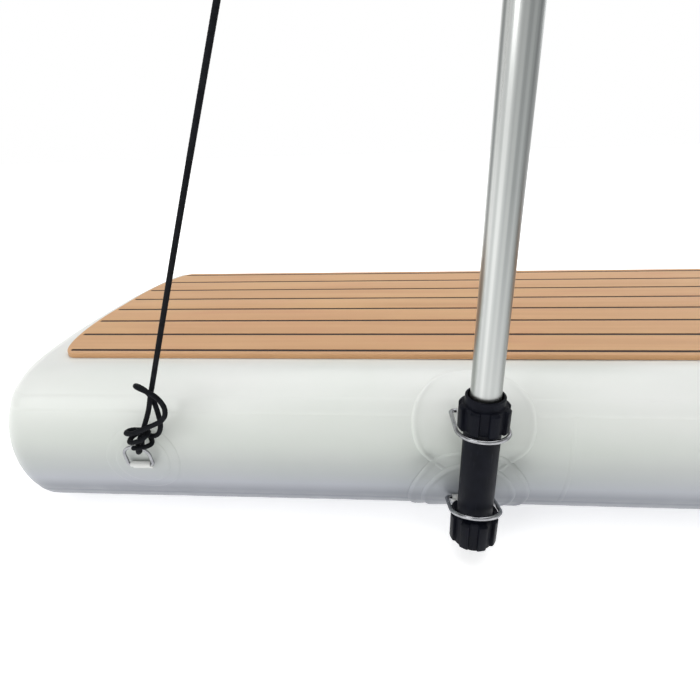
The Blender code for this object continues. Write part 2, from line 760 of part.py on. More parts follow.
def sleeve_solid(wire, length):
    """Webbing folded round a bar on the X axis, with both legs flat along -Y."""
    bore, outer = wire / 2 + GAP, sleeve_radius(wire)
    leg_low = -outer
    slit_low = leg_low + WEBBING
    slit_high = slit_low + WEBBING_SLIT
    leg_high = slit_high + WEBBING
    section = [(-SLEEVE_LEG, slit_low), (-SLEEVE_LEG, leg_low)]
    section += arc(outer, 1.5 * math.pi, 3 * math.pi - math.asin(leg_high / outer))
    section += [(-SLEEVE_LEG, leg_high), (-SLEEVE_LEG, slit_high)]
    section += arc(bore, 3 * math.pi - math.asin(slit_high / bore), 1.5 * math.pi)
    half = length / 2
    rows = [[(x, y, z) for y, z in section] for x in (-half, half)]
    return loft(rows)


def arc(radius, start, end):
    """Points (y, z) on a circle, counted from +Y towards +Z."""
    points = []
    for i in range(SLEEVE_STEPS + 1):
        t = start + (end - start) * i / SLEEVE_STEPS
        points.append((radius * math.cos(t), radius * math.sin(t)))
    return points


def placed(solid, frame):
    verts, faces = solid
    return [tuple(frame @ Vector(v)) for v in verts], faces


def stepped_patch(name, x, height, side, radii, layers, material):
    """Two round patches welded into one, the smaller one on the larger."""
    s = wall_length_at(height)
    (wide, narrow), (low, middle, high) = radii, layers
    patch = add_object(name, *wall_disc(x, s, wide, low, middle, side), material)
    cover = wall_disc(x, s, narrow, (low + middle) / 2, high, side)
    fuse(patch, add_object(f"{name}_cover", *cover, material))


def build_end_rings(white, webbing, steel):
    height = END_RING_HEIGHT
    layers = (GAP, GAP + PATCH, GAP + PATCH * 2)
    bar_proud = layers[-1] + GAP + sleeve_radius(END_RING_WIRE)
    sleeve_length = END_RING_INNER_WIDTH - END_RING_BEND
    for side, depth_name in ((-1, "near"), (1, "far")):
        for end, end_name in ((-1, "left"), (1, "right")):
            x = end * (HALF_LENGTH - END_RING_FROM_END)
            place = f"{depth_name}_{end_name}"
            stepped_patch(f"end_patch_{place}", x, height, side,
                          (END_PATCH_RADIUS, END_PATCH_INNER_RADIUS), layers, white)
            frame = wall_frame(x, height, side, bar_proud)
            verts, faces = placed(sleeve_solid(END_RING_WIRE, sleeve_length), frame)
            add_object(f"end_ring_sleeve_{place}", verts, faces, webbing)
            verts, faces = ring_solid(END_RING_INNER_WIDTH, END_RING_WIRE,
                                      END_RING_DEPTH, END_RING_BEND)
            ring = add_object(f"end_ring_{place}", verts, faces, steel,
                              origin=frame.translation)
            upright = math.pi / 2 + END_RING_LEAN if side < 0 else -math.pi / 2
            ring.rotation_euler = (upright, 0.0, 0.0)


def mount_ring_frames(x):
    """Bar frames of the upper and lower mount rings, and each ring's depth to its front."""
    sleeve = GAP + sleeve_radius(MOUNT_RING_WIRE)
    prouds = (OVER_TAPE + PATCH + sleeve, MOUNT_LAYERS[-1] + sleeve)
    frames = [wall_frame(x, height, -1, proud)
              for height, proud in zip(MOUNT_RING_HEIGHTS, prouds)]
    front = SOCKET_Y - MOUNT_RING_HALF
    depths = [(frame.translation.y - front) / math.cos(tilt)
              for frame, tilt in zip(frames, MOUNT_RING_TILTS)]
    return frames, depths


def ground_cutter(x, radius, end_name):
    """A block under the ground, which trims a patch that reaches the hull's lower edge."""
    square = [(x - radius, -HALF_WIDTH), (x + radius, -HALF_WIDTH),
              (x + radius, 0.0), (x - radius, 0.0)]
    material = make_material("trim", (1.0, 0.0, 0.0), 1.0)
    return add_object(f"ground_{end_name}", *prism(square, -OVERRUN, GAP), material, smooth=False)


def ring_front_heights(x):
    return [frame.translation.z + depth * math.sin(tilt)
            for frame, depth, tilt in zip(*mount_ring_frames(x), MOUNT_RING_TILTS)]


def cap_drop(tilt):
    """How far the cap's bevelled top stays under the front of a ring that tilts."""
    half = MOUNT_RING_HALF
    arch = [(half * math.sin(math.pi / 2 * i / ROUND_STEPS),
             half - half * math.cos(math.pi / 2 * i / ROUND_STEPS))
            for i in range(ROUND_STEPS + 1)]
    legs = [(half, half + half * i / ROUND_STEPS) for i in range(ROUND_STEPS + 1)]
    drops = []
    for across, back in arch + legs:
        radial = math.hypot(across, back * math.cos(tilt) - half)
        if radial < NUT_LOBE_RADIUS + RING_REACH:
            drops.append(back * math.sin(tilt) - radial)
    return max(drops, default=0.0) + NUT_LOBE_RADIUS - NUT_CHAMFER + RING_REACH * math.sqrt(2)


def build_mounts(white, webbing, steel):
    upper_height, lower_height = MOUNT_PATCH_HEIGHTS
    sleeve_length = MOUNT_RING_INNER_WIDTH - MOUNT_RING_BEND * 2
    for end, end_name in ((-1, "left"), (1, "right")):
        x = end * STANCHION_SPACING / 2
        s = wall_length_at(upper_height)
        radius = min(MOUNT_UPPER_PATCH_RADIUS, WALL_LENGTH - s - GAP)
        upper = wall_disc(x, s, radius, OVER_TAPE, OVER_TAPE + PATCH, -1)
        add_object(f"mount_patch_upper_{end_name}", *upper, white)
        s = wall_length_at(lower_height)
        radius = min(MOUNT_LOWER_PATCH_RADIUS, s - GAP)
        stepped_patch(f"mount_patch_lower_{end_name}", x, lower_height, -1,
                      (radius, MOUNT_INNER_PATCH_RADIUS), MOUNT_LAYERS, white)
        cut(bpy.data.objects[f"mount_patch_lower_{end_name}"], ground_cutter(x, radius, end_name))
        frames, depths = mount_ring_frames(x)
        rings = zip(("upper", "lower"), frames, depths, MOUNT_RING_TILTS)
        for level, frame, depth, tilt in rings:
            verts, faces = placed(sleeve_solid(MOUNT_RING_WIRE, sleeve_length), frame)
            add_object(f"mount_sleeve_{level}_{end_name}", verts, faces, webbing)
            verts, faces = ring_solid(MOUNT_RING_INNER_WIDTH, MOUNT_RING_WIRE,
                                      depth, MOUNT_RING_BEND)
            ring = add_object(f"mount_ring_{level}_{end_name}", verts, faces, steel,
                              origin=frame.translation)
            ring.rotation_euler = (math.pi - tilt, 0.0, 0.0)


# Sockets and stanchions


def build_socket(x, end_name, plastic):
    upper_front, lower_front = ring_front_heights(x)
    upper_tilt, lower_tilt = MOUNT_RING_TILTS
    inside = MOUNT_RING_HALF * math.cos(upper_tilt) - (NUT_LOBE_RADIUS - NUT_CHAMFER)
    nut_bottom = upper_front + RING_REACH * math.sqrt(2) - inside
    cap_top = lower_front - cap_drop(lower_tilt)
    floor_top = CAP_BOTTOM + CAP_FLOOR
    axis = (x, SOCKET_Y, 0.0)

    verts, faces = turned([(BORE_RADIUS, floor_top + GAP), (SOCKET_RADIUS, floor_top + GAP),
                           (SOCKET_RADIUS, SOCKET_TOP), (BORE_RADIUS, SOCKET_TOP)], hollow=True)
    add_object(f"socket_tube_{end_name}", verts, faces, plastic, origin=axis)

    lobe, body, bevel = NUT_LOBE_RADIUS, NUT_BODY_RADIUS, NUT_CHAMFER
    outside = lobed([
        (lobe - bevel, body - bevel / 2, nut_bottom), (lobe, body, nut_bottom + bevel),
        (lobe, body, NUT_LOBE_TOP - bevel), (body, body, NUT_LOBE_TOP),
    ], NUT_LOBES, NUT_LOBE_ANGLE_SHARE)
    thread = SOCKET_RADIUS + GAP
    shape = outside[0]
    rows = [scaled_ring(shape, thread, SOCKET_TOP + GAP), scaled_ring(shape, thread, nut_bottom)]
    rows += outside
    rows += [scaled_ring(shape, NUT_MOUTH_RADIUS, NUT_LOBE_TOP),
             scaled_ring(shape, NUT_MOUTH_RADIUS, NUT_TOP),
             scaled_ring(shape, NUT_MOUTH_BORE, NUT_TOP),
             scaled_ring(shape, NUT_MOUTH_BORE, SOCKET_TOP + GAP)]
    verts, faces = loft(rows, capped=False)
    add_object(f"socket_nut_{end_name}", verts, faces, plastic, origin=axis)

    outside = lobed([
        (body - CAP_CHAMFER, body - CAP_CHAMFER, CAP_BOTTOM),
        (body, body, CAP_BOTTOM + CAP_CHAMFER), (lobe, body, CAP_BOTTOM + CAP_CHAMFER + bevel),
        (lobe, body, cap_top - bevel), (lobe - bevel, body - bevel / 2, cap_top),
    ], NUT_LOBES, NUT_LOBE_ANGLE_SHARE)
    rows = outside + [scaled_ring(shape, thread, cap_top), scaled_ring(shape, thread, floor_top)]
    verts, faces = loft(rows)
    add_object(f"socket_cap_{end_name}", verts, faces, plastic, origin=axis)

    inner, outer = BORE_RADIUS, BORE_RADIUS + COLLET_WALL
    steps = ROUND_STEPS
    half = COLLET_SLIT_ANGLE / 2
    turn = [half + (2 * math.pi - 2 * half) * i / steps for i in range(steps + 1)]
    outline = [(outer * math.cos(t), outer * math.sin(t)) for t in turn]
    outline += [(inner * math.cos(t), inner * math.sin(t)) for t in reversed(turn)]
    low = SOCKET_TOP + GAP
    verts, faces = prism(outline, low, low + COLLET_HEIGHT)
    add_object(f"socket_collet_{end_name}", verts, faces, plastic, origin=axis)
    return floor_top


def build_stanchion(x, end_name, floor_top, aluminium, plastic, steel):
    foot = floor_top + GAP
    tube_low = foot + FOOT_FLANGE + GAP
    eye_z = DECK_TOP + HANDRAIL_HEIGHT
    wire = EYE_WIRE / 2
    ring_radius = EYE_INNER_RADIUS + wire
    head_top = eye_z - ring_radius - wire
    tube_high = head_top - HEAD_CROWN - GAP
    tube_bore = TUBE_RADIUS - TUBE_WALL

    root = bpy.data.objects.new(f"stanchion_axis_{end_name}", None)
    root.location = (x, SOCKET_Y, foot)
    bpy.context.scene.collection.objects.link(root)

    verts, faces = turned([(tube_bore, tube_low - foot), (TUBE_RADIUS, tube_low - foot),
                           (TUBE_RADIUS, tube_high - foot), (tube_bore, tube_high - foot)],
                          hollow=True)
    tube = add_object(f"stanchion_tube_{end_name}", verts, faces, aluminium)

    plug = tube_bore - GAP
    verts, faces = turned([(TUBE_RADIUS, 0.0), (TUBE_RADIUS, FOOT_FLANGE), (plug, FOOT_FLANGE),
                           (plug, FOOT_FLANGE + FOOT_PLUG_DEPTH)], steps=20)
    foot_plug = add_object(f"stanchion_foot_{end_name}", verts, faces, plastic)

    inner = TUBE_RADIUS + GAP
    outer = inner + HEAD_WALL
    hole = EYE_STEM_RADIUS + GAP
    top = head_top - foot
    under = tube_high + GAP - foot
    verts, faces = turned([
        (hole, under), (inner, under), (inner, under - HEAD_SKIRT), (outer, under - HEAD_SKIRT),
        (outer, top - HEAD_EDGE), (outer - HEAD_EDGE, top), (hole, top)], hollow=True)
    head = add_object(f"stanchion_head_{end_name}", verts, faces, plastic)

    verts, faces = eye_solid(ring_radius, wire)
    eye = add_object(f"rope_eye_{end_name}", verts, faces, steel, origin=(0, 0, eye_z - foot))
    stem = add_object(f"eye_stem_{end_name}", *turned(
        [(EYE_STEM_RADIUS, -ring_radius - EYE_STEM), (EYE_STEM_RADIUS, -ring_radius)], steps=12),
        steel, origin=(0, 0, eye_z - foot))
    fuse(eye, stem)
    for child in (tube, foot_plug, head, eye):
        child.parent = root


def eye_solid(radius, wire):
    rows = []
    for t in angles(EYE_STEPS):
        rows.append([(wire * math.sin(u), (radius + wire * math.cos(u)) * math.cos(t),
                      (radius + wire * math.cos(u)) * math.sin(t)) for u in angles(EYE_SIDES)])
    return loft(rows, capped=False)


def fuse(obj, other):
    """Weld other into obj and keep other only as a hidden tool."""
    other.parent = obj
    other.location = (0.0, 0.0, 0.0)
    other.hide_render = True
    other.display_type = "WIRE"
    modifier = obj.modifiers.new("fuse", "BOOLEAN")
    modifier.operation = "UNION"
    modifier.solver = "EXACT"
    modifier.object = other


# Handrail rope


def smooth_route(route, steps):
    """Points on a smooth curve through every route point, with steps spans between."""
    points = [Vector(p) for p in route]
    points = [points[0] * 2 - points[1]] + points + [points[-1] * 2 - points[-2]]
    curve = []
    for i in range(1, len(points) - 2):
        a, b, c, d = points[i - 1:i + 3]
        for k in range(steps):
            t = k / steps
            curve.append(0.5 * ((2 * b) + (c - a) * t + (2 * a - 5 * b + 4 * c - d) * t ** 2
                                + (3 * b - a - 3 * c + d) * t ** 3))
    curve.append(points[-2])
    return curve


def rope_piece(name, points, material):
    curve = bpy.data.curves.new(name, "CURVE")
    curve.dimensions = "3D"
    curve.bevel_depth = ROPE_DIAMETER / 2
    curve.bevel_resolution = 2
    curve.use_fill_caps = True
    spline = curve.splines.new("POLY")
    spline.points.add(len(points) - 1)
    for slot, point in zip(spline.points, points):
        slot.co = (*point, 1.0)
    curve.materials.append(material)
    obj = bpy.data.objects.new(name, curve)
    bpy.context.scene.collection.objects.link(obj)
    return obj


def build_rope(rope_material):
    for name, route, steps in (("ring_knot", KNOT_ROUTE, KNOT_STEPS),
                               ("rope_lower_leg", LOWER_LEG_ROUTE, LEG_STEPS),
                               ("rope_upper", UPPER_ROUTE, UPPER_STEPS)):
        for end_name, points in (("left", route), ("right", mirrored_x(route))):
            curve = smooth_route(points, steps)
            rope_piece(f"{name}_{end_name}", curve, rope_material)


def main():
    clear_scene()
    white = make_material("white_pvc", (0.86, 0.87, 0.85), 0.35)
    teak = make_material("teak_foam", (0.68, 0.37, 0.18), 0.8)
    caulk = make_material("dark_foam", (0.045, 0.025, 0.018), 0.9)
    fabric = make_material("polyester_fabric", (0.8, 0.8, 0.78), 0.8)
    webbing = make_material("white_webbing", (0.82, 0.82, 0.78), 0.7)
    steel = make_material("stainless_steel", (0.62, 0.62, 0.6), 0.22, 1.0)
    plastic = make_material("black_plastic", (0.012, 0.014, 0.018), 0.4)
    grey_plastic = make_material("grey_plastic", (0.3, 0.31, 0.32), 0.45)
    rubber = make_material("black_rubber", (0.02, 0.02, 0.02), 0.8)
    aluminium = make_material("aluminium", (0.72, 0.73, 0.73), 0.3, 1.0)
    rope_material = make_material("black_rope", (0.012, 0.012, 0.014), 0.85)

    build_hull(white, fabric)
    build_deck_pad(teak, caulk)
    build_valve(grey_plastic, rubber, steel)
    build_end_rings(white, webbing, steel)
    build_mounts(white, webbing, steel)
    for end, end_name in ((-1, "left"), (1, "right")):
        x = end * STANCHION_SPACING / 2
        floor_top = build_socket(x, end_name, plastic)
        build_stanchion(x, end_name, floor_top, aluminium, plastic, steel)
    build_rope(rope_material)


main()
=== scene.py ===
"""Looks of the inflatable gangway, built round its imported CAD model. Metres, +Z up."""

import json
import math

import bmesh
import bpy
import numpy as np
from mathutils import Matrix, Vector


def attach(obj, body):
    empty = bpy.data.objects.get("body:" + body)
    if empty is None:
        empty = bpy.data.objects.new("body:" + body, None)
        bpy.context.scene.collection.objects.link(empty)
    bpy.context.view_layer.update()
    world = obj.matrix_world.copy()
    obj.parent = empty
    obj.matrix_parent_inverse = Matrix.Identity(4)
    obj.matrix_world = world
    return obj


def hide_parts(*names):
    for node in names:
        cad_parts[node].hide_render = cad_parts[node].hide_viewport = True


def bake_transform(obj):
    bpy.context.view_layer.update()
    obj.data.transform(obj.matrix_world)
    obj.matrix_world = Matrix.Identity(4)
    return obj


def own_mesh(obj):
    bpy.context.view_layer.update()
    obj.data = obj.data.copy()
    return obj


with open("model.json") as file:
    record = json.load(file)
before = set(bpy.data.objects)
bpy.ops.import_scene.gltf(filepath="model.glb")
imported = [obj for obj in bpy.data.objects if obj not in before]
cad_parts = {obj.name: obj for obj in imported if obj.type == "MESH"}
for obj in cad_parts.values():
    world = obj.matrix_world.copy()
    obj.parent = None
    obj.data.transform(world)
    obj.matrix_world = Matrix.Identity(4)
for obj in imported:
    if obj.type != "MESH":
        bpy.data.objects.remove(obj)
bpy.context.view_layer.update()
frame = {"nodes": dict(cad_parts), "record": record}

# Camera, fitted to the photograph
CAMERA_PLACE = (-0.6991, -0.7872, 0.4544)
CAMERA_PITCH = math.radians(23.132)
CAMERA_ROLL = math.radians(1.696)
CAMERA_YAW = math.radians(-4.640)
SENSOR = 36.0
FOCAL_SHARE = 470 / 700
NEAR_CLIP = 0.01

# Hull, as in the CAD source
HALF_LENGTH = 1.25
HALF_WIDTH = 0.316
HALF_HEIGHT = 0.1
SIDE_BULGE = 0.074
CORNER_ALONG = 0.09
CORNER_ACROSS = 0.27
SKIN = 0.0012
SEAM_ANGLE = math.asin(0.7)
SEAM_GAP = 0.00015
WITHIN_FACETS = 0.0004
FLAT_MARGIN = 0.0002
RIPPLE = 0.0005
WALL_ROWS = 26
SHOULDER_ROWS = 12
COLUMN_STEP = 0.008
CORNER_COLUMNS = 40

# Weld tapes and their puckers
TAPE_WIDTH = 0.022
TAPE = 0.0006
TAPE_BEVEL = 0.005
TAPE_SUNK = 0.0003
TAPE_FADE = 0.0006
PUCKER = 0.00022
PUCKER_PITCH = 0.034
PUCKER_SPREAD = 0.02
LAP_X = -0.48
LAP_WIDTH = 0.006
LAP = 0.0004

# Patches: their discs are (radius, lower face, upper face) on the wall
PATCH = 0.0009
PATCH_EDGE = 0.004
PATCH_RIM = 0.0009
END_PATCH = 0.00045
END_PATCH_RIM = 0.00015
PATCH_COLUMNS = 96
PATCH_TINY = 0.0004
GROUND_GAP = 0.0008
END_PATCH_Z = 0.0995
UPPER_PATCH_Z = 0.154
LOWER_PATCH_Z = 0.0485
END_DISCS = ((0.048, 0.0, END_PATCH), (0.035, END_PATCH, END_PATCH * 2))
UPPER_DISCS = ((0.073, 0.0, PATCH),)
LOWER_DISCS = ((0.075, PATCH * 0.4, PATCH * 1.4), (0.058, PATCH * 1.4, PATCH * 2.4))
# A patch's rim: (inset in edge widths, rise in rim heights)
RIM_SHAPE = ((2.2, 0.0), (1.7, 0.35), (1.3, 0.85), (0.9, 1.0), (0.5, 0.7))

# Signs of x and y in the four quarters, anticlockwise
QUARTERS = ((1, 1), (-1, 1), (-1, -1), (1, -1))

# Places of the posts, and the two ends and sides with their signs
POST_X = 0.595
POST_Y = -0.35
ENDS = (("left", -1.0), ("right", 1.0))
SIDES = (("near", -1.0), ("far", 1.0))

# Rings and their webbing sleeves
END_BAR = (1.0035, 0.32182, 0.09893)
END_RING = {"inner_width": 0.028, "wire": 0.004, "depth": 0.031, "bend": 0.003}
END_RING_TURN = {"near": math.radians(102), "far": math.radians(-90)}
END_SLEEVE = {"wire": 0.004, "length": 0.025, "leg": 0.008}
END_WALL_RISE = -0.09696
MOUNT_RING = {"inner_width": 0.051, "wire": 0.0048, "bend": 0.005}
MOUNT_SLEEVE = {"wire": 0.0048, "length": 0.041, "leg": 0.013}
# Level, the bar's y and z, the ring's depth and tilt in degrees, the rise of the wall's normal
MOUNT_RINGS = (("upper", -0.302369, 0.16971, 0.07589, 5.5, 0.49377),
               ("lower", -0.316607, 0.05498, 0.06544, 20.5, -0.29306))
WEBBING = 0.0012
SLEEVE_GAP = 0.0002

# Deck pad
PITCH = 0.06
PAD_SEAMS = 8
PAD_HALF_LENGTH = 1.172
PAD_HALF_WIDTH = 0.2236
PAD_CORNER_ALONG = 0.045
PAD_CORNER_ACROSS = 0.19
PAD_BASE_INSET = 0.003
PAD_BASE_Z = 0.2003
PLANK_Z = 0.2026
PLANK_TOP = 0.2066
GROOVE = 0.0066
GROOVE_END = 0.006
RIB_TOP = 0.2061
LAYER_LAP = 0.0001
RIB_LAP = 0.0004
PAD_HOLE = 0.034
HOLE_REACH = 0.03
EDGE_STEPS = (0.0, 0.0003, 0.0007, 0.0012)
SEAM_PLACES = tuple(PITCH * (i - (PAD_SEAMS - 1) / 2) for i in range(PAD_SEAMS))

# Rope
ROPE = 0.006
ROPE_SIDES = 24
ROPE_STEP = 0.001
BRAID_STRANDS = 6
BRAID_TURN = 0.024
BRAID_DEPTH = 0.00028

# The rope's route in metres, as in the CAD source, for the left end
KNOT_ROUTE = (
    (-0.961, -0.333, 0.215), (-0.9656, -0.333, 0.202), (-0.9698, -0.3332, 0.188),
    (-0.9735, -0.3336, 0.178), (-0.9778, -0.3341, 0.168), (-0.982, -0.3346, 0.159),
    (-0.9868, -0.335, 0.15), (-0.9913, -0.3352, 0.1405), (-0.994, -0.3348, 0.1335),
    (-0.9954, -0.3336, 0.1276), (-0.997, -0.3312, 0.1234), (-0.9979, -0.3277, 0.1216),
    (-0.9976, -0.3241, 0.1231), (-0.9965, -0.3221, 0.1272), (-0.995, -0.3219, 0.1335),
    (-0.9925, -0.3228, 0.1398), (-0.987, -0.3243, 0.1435), (-0.98, -0.3262, 0.1441),
    (-0.9725, -0.3282, 0.1458), (-0.9665, -0.3293, 0.1515), (-0.9632, -0.3295, 0.1605),
    (-0.9632, -0.3286, 0.17), (-0.9647, -0.327, 0.1795), (-0.9667, -0.3257, 0.1885),
    (-0.9702, -0.325, 0.1975), (-0.9745, -0.3256, 0.205), (-0.9785, -0.3287, 0.2112),
    (-0.9792, -0.3345, 0.2158), (-0.9742, -0.34, 0.2165), (-0.966, -0.3412, 0.213),
    (-0.958, -0.3405, 0.2075), (-0.952, -0.34, 0.2), (-0.9485, -0.3395, 0.19),
    (-0.95, -0.3395, 0.18), (-0.956, -0.34, 0.173), (-0.964, -0.341, 0.169),
    (-0.9725, -0.342, 0.1655), (-0.981, -0.3425, 0.1615), (-0.9895, -0.3422, 0.158),
    (-0.9968, -0.3408, 0.1556), (-1.0022, -0.3375, 0.1547), (-1.003, -0.3313, 0.1537),
    (-0.9995, -0.327, 0.1527), (-0.9935, -0.326, 0.152), (-0.985, -0.3268, 0.1525),
    (-0.9785, -0.3315, 0.1532), (-0.978, -0.3385, 0.152), (-0.984, -0.3425, 0.1485),
    (-0.993, -0.3425, 0.1452), (-1.0, -0.3385, 0.1435), (-1.0022, -0.328, 0.143),
    (-0.9972, -0.3175, 0.1428), (-0.989, -0.3165, 0.1392), (-0.9825, -0.3218, 0.1352),
    (-0.98, -0.329, 0.134), (-0.9835, -0.3372, 0.1355), (-0.9905, -0.3416, 0.137),
    (-0.9975, -0.3425, 0.1372),
)
LOWER_LEG_ROUTE = (
    (-0.9608, -0.333, 0.2156), (-0.9255, -0.3349, 0.315), (-0.8895, -0.3367, 0.415),
    (-0.853, -0.3386, 0.515), (-0.8163, -0.3404, 0.615), (-0.7884, -0.3418, 0.69),
)
UPPER_ROUTE = (
    (-0.7883, -0.3418, 0.6903), (-0.7574, -0.3433, 0.773), (-0.7196, -0.3452, 0.873),
    (-0.6815, -0.3471, 0.973), (-0.652, -0.3485, 1.05), (-0.6326, -0.3494, 1.1),
    (-0.626, -0.3498, 1.12), (-0.62, -0.35, 1.1335), (-0.612, -0.35, 1.142),
    (-0.603, -0.35, 1.145), (-0.595, -0.35, 1.1456), (-0.585, -0.35, 1.1454),
    (-0.565, -0.35, 1.1442), (-0.52, -0.35, 1.141), (-0.425, -0.35, 1.1346),
    (-0.285, -0.35, 1.1275), (-0.1425, -0.35, 1.1235), (-0.0002, -0.35, 1.1222),
)

RECORD = frame["record"]
SLOT_OF = {part["node"]: part["material_slot"] for part in RECORD["subparts"]}
BODY_OF = {node: body for body, nodes in RECORD["behaviour"]["bodies"].items()
           for node in nodes}


# Meshes


def add_mesh(name, solid, material, crease=40):
    """Add an object. Faces that meet at more than crease degrees keep a sharp edge."""
    verts, faces = solid
    mesh = bpy.data.meshes.new(name)
    mesh.from_pydata([tuple(v) for v in verts], [], faces)
    bm = bmesh.new()
    bm.from_mesh(mesh)
    bmesh.ops.recalc_face_normals(bm, faces=bm.faces[:])
    if bm.calc_volume(signed=True) < 0:
        bmesh.ops.reverse_faces(bm, faces=bm.faces[:])
    bm.to_mesh(mesh)
    bm.free()
    mesh.shade_smooth()
    mesh.set_sharp_from_angle(angle=math.radians(crease))
    mesh.materials.append(material)
    obj = bpy.data.objects.new(name, mesh)
    bpy.context.scene.collection.objects.link(obj)
    return obj


def loft(rows, capped=True, looped=False):
    """Skin equal closed rows of points: capped shuts the ends, looped joins them."""
    verts = [tuple(point) for row in rows for point in row]
    count = len(rows[0])
    faces = []
    for r in range(len(rows) if looped else len(rows) - 1):
        here, there = r * count, (r + 1) % len(rows) * count
        for i in range(count):
            j = (i + 1) % count
            faces.append((here + i, here + j, there + j, there + i))
    if capped and not looped:
        faces.append(tuple(range(count)))
        faces.append(tuple(range((len(rows) - 1) * count, len(rows) * count)))
    return verts, faces


def joined(*solids):
    verts, faces = [], []
    for part_verts, part_faces in solids:
        start = len(verts)
        verts.extend(part_verts)
        faces.extend(tuple(i + start for i in face) for face in part_faces)
    return verts, faces


def moved(solid, matrix):
    verts, faces = solid
    return [tuple(matrix @ Vector(v)) for v in verts], faces


def circle(steps):
    return [2 * math.pi * i / steps for i in range(steps)]


def turned(profile, steps=64, hollow=False):
    """Turn (radius, height) points round Z: hollow joins the last to the first."""
    rows = [[(r * math.cos(t), r * math.sin(t), z) for t in circle(steps)]
            for r, z in profile]
    return loft(rows, looped=hollow)


def rounded(profile, radius, closed=False, steps=3):
    """Round the corners of a profile, given as equal rows of numbers."""
    points = [Vector(p) for p in profile]
    count = len(points)
    result = []
    for i, corner in enumerate(points):
        if not closed and i in (0, count - 1):
            result.append(corner)
            continue
        before, after = points[i - 1], points[(i + 1) % count]
        reach = min(radius, (before - corner).length / 2.1, (after - corner).length / 2.1)
        start = corner + (before - corner).normalized() * reach
        end = corner + (after - corner).normalized() * reach
        for k in range(steps + 1):
            share = k / steps
            result.append(start.lerp(corner, share).lerp(corner.lerp(end, share), share))
    return [tuple(p) for p in result]


def drilled(solid, radius, material):
    """The same solid with the valve's round hole cut through it."""
    body = add_mesh("body", solid, material)
    cutter = turned([(radius, -HOLE_REACH), (radius, HOLE_REACH)])
    cutter = add_mesh("cutter", moved(cutter, at(VALVE_PLACE)), material)
    modifier = body.modifiers.new("cut", "BOOLEAN")
    modifier.operation = "DIFFERENCE"
    modifier.solver = "EXACT"
    modifier.object = cutter
    graph = bpy.context.evaluated_depsgraph_get()
    mesh = bpy.data.meshes.new_from_object(body.evaluated_get(graph))
    for obj in (body, cutter):
        bpy.data.objects.remove(obj, do_unlink=True)
    return ([tuple(vertex.co) for vertex in mesh.vertices],
            [tuple(face.vertices) for face in mesh.polygons])


def tube_of(profile, rounding, steps=64):
    """A hollow turned piece with rounded edges."""
    return turned(rounded(profile, rounding, closed=True), steps=steps, hollow=True)


def prism(corners, low, high):
    return loft([[(x, y, z) for x, y in corners] for z in (low, high)])


def at(place, turn_x=0.0):
    return Matrix.Translation(place) @ Matrix.Rotation(turn_x, 4, "X")


def dress(obj, node):
    """Put obj in the place of this CAD node, on its body."""
    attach(obj, BODY_OF[node])
    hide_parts(node)
    return obj


def piece(node, ending, solid, material, crease=40):
    """A fine piece in the place of a CAD node, and named after it."""
    return dress(add_mesh(f"{node}_{ending}", solid, material, crease), node)


def set_ramp(ramp, stops):
    """Give a colour ramp its (place, colour) stops."""
    while len(ramp.color_ramp.elements) < len(stops):
        ramp.color_ramp.elements.new(0.5)
    for element, (place, colour) in zip(ramp.color_ramp.elements, stops):
        element.position = place
        element.color = (*colour, 1.0)


# Materials


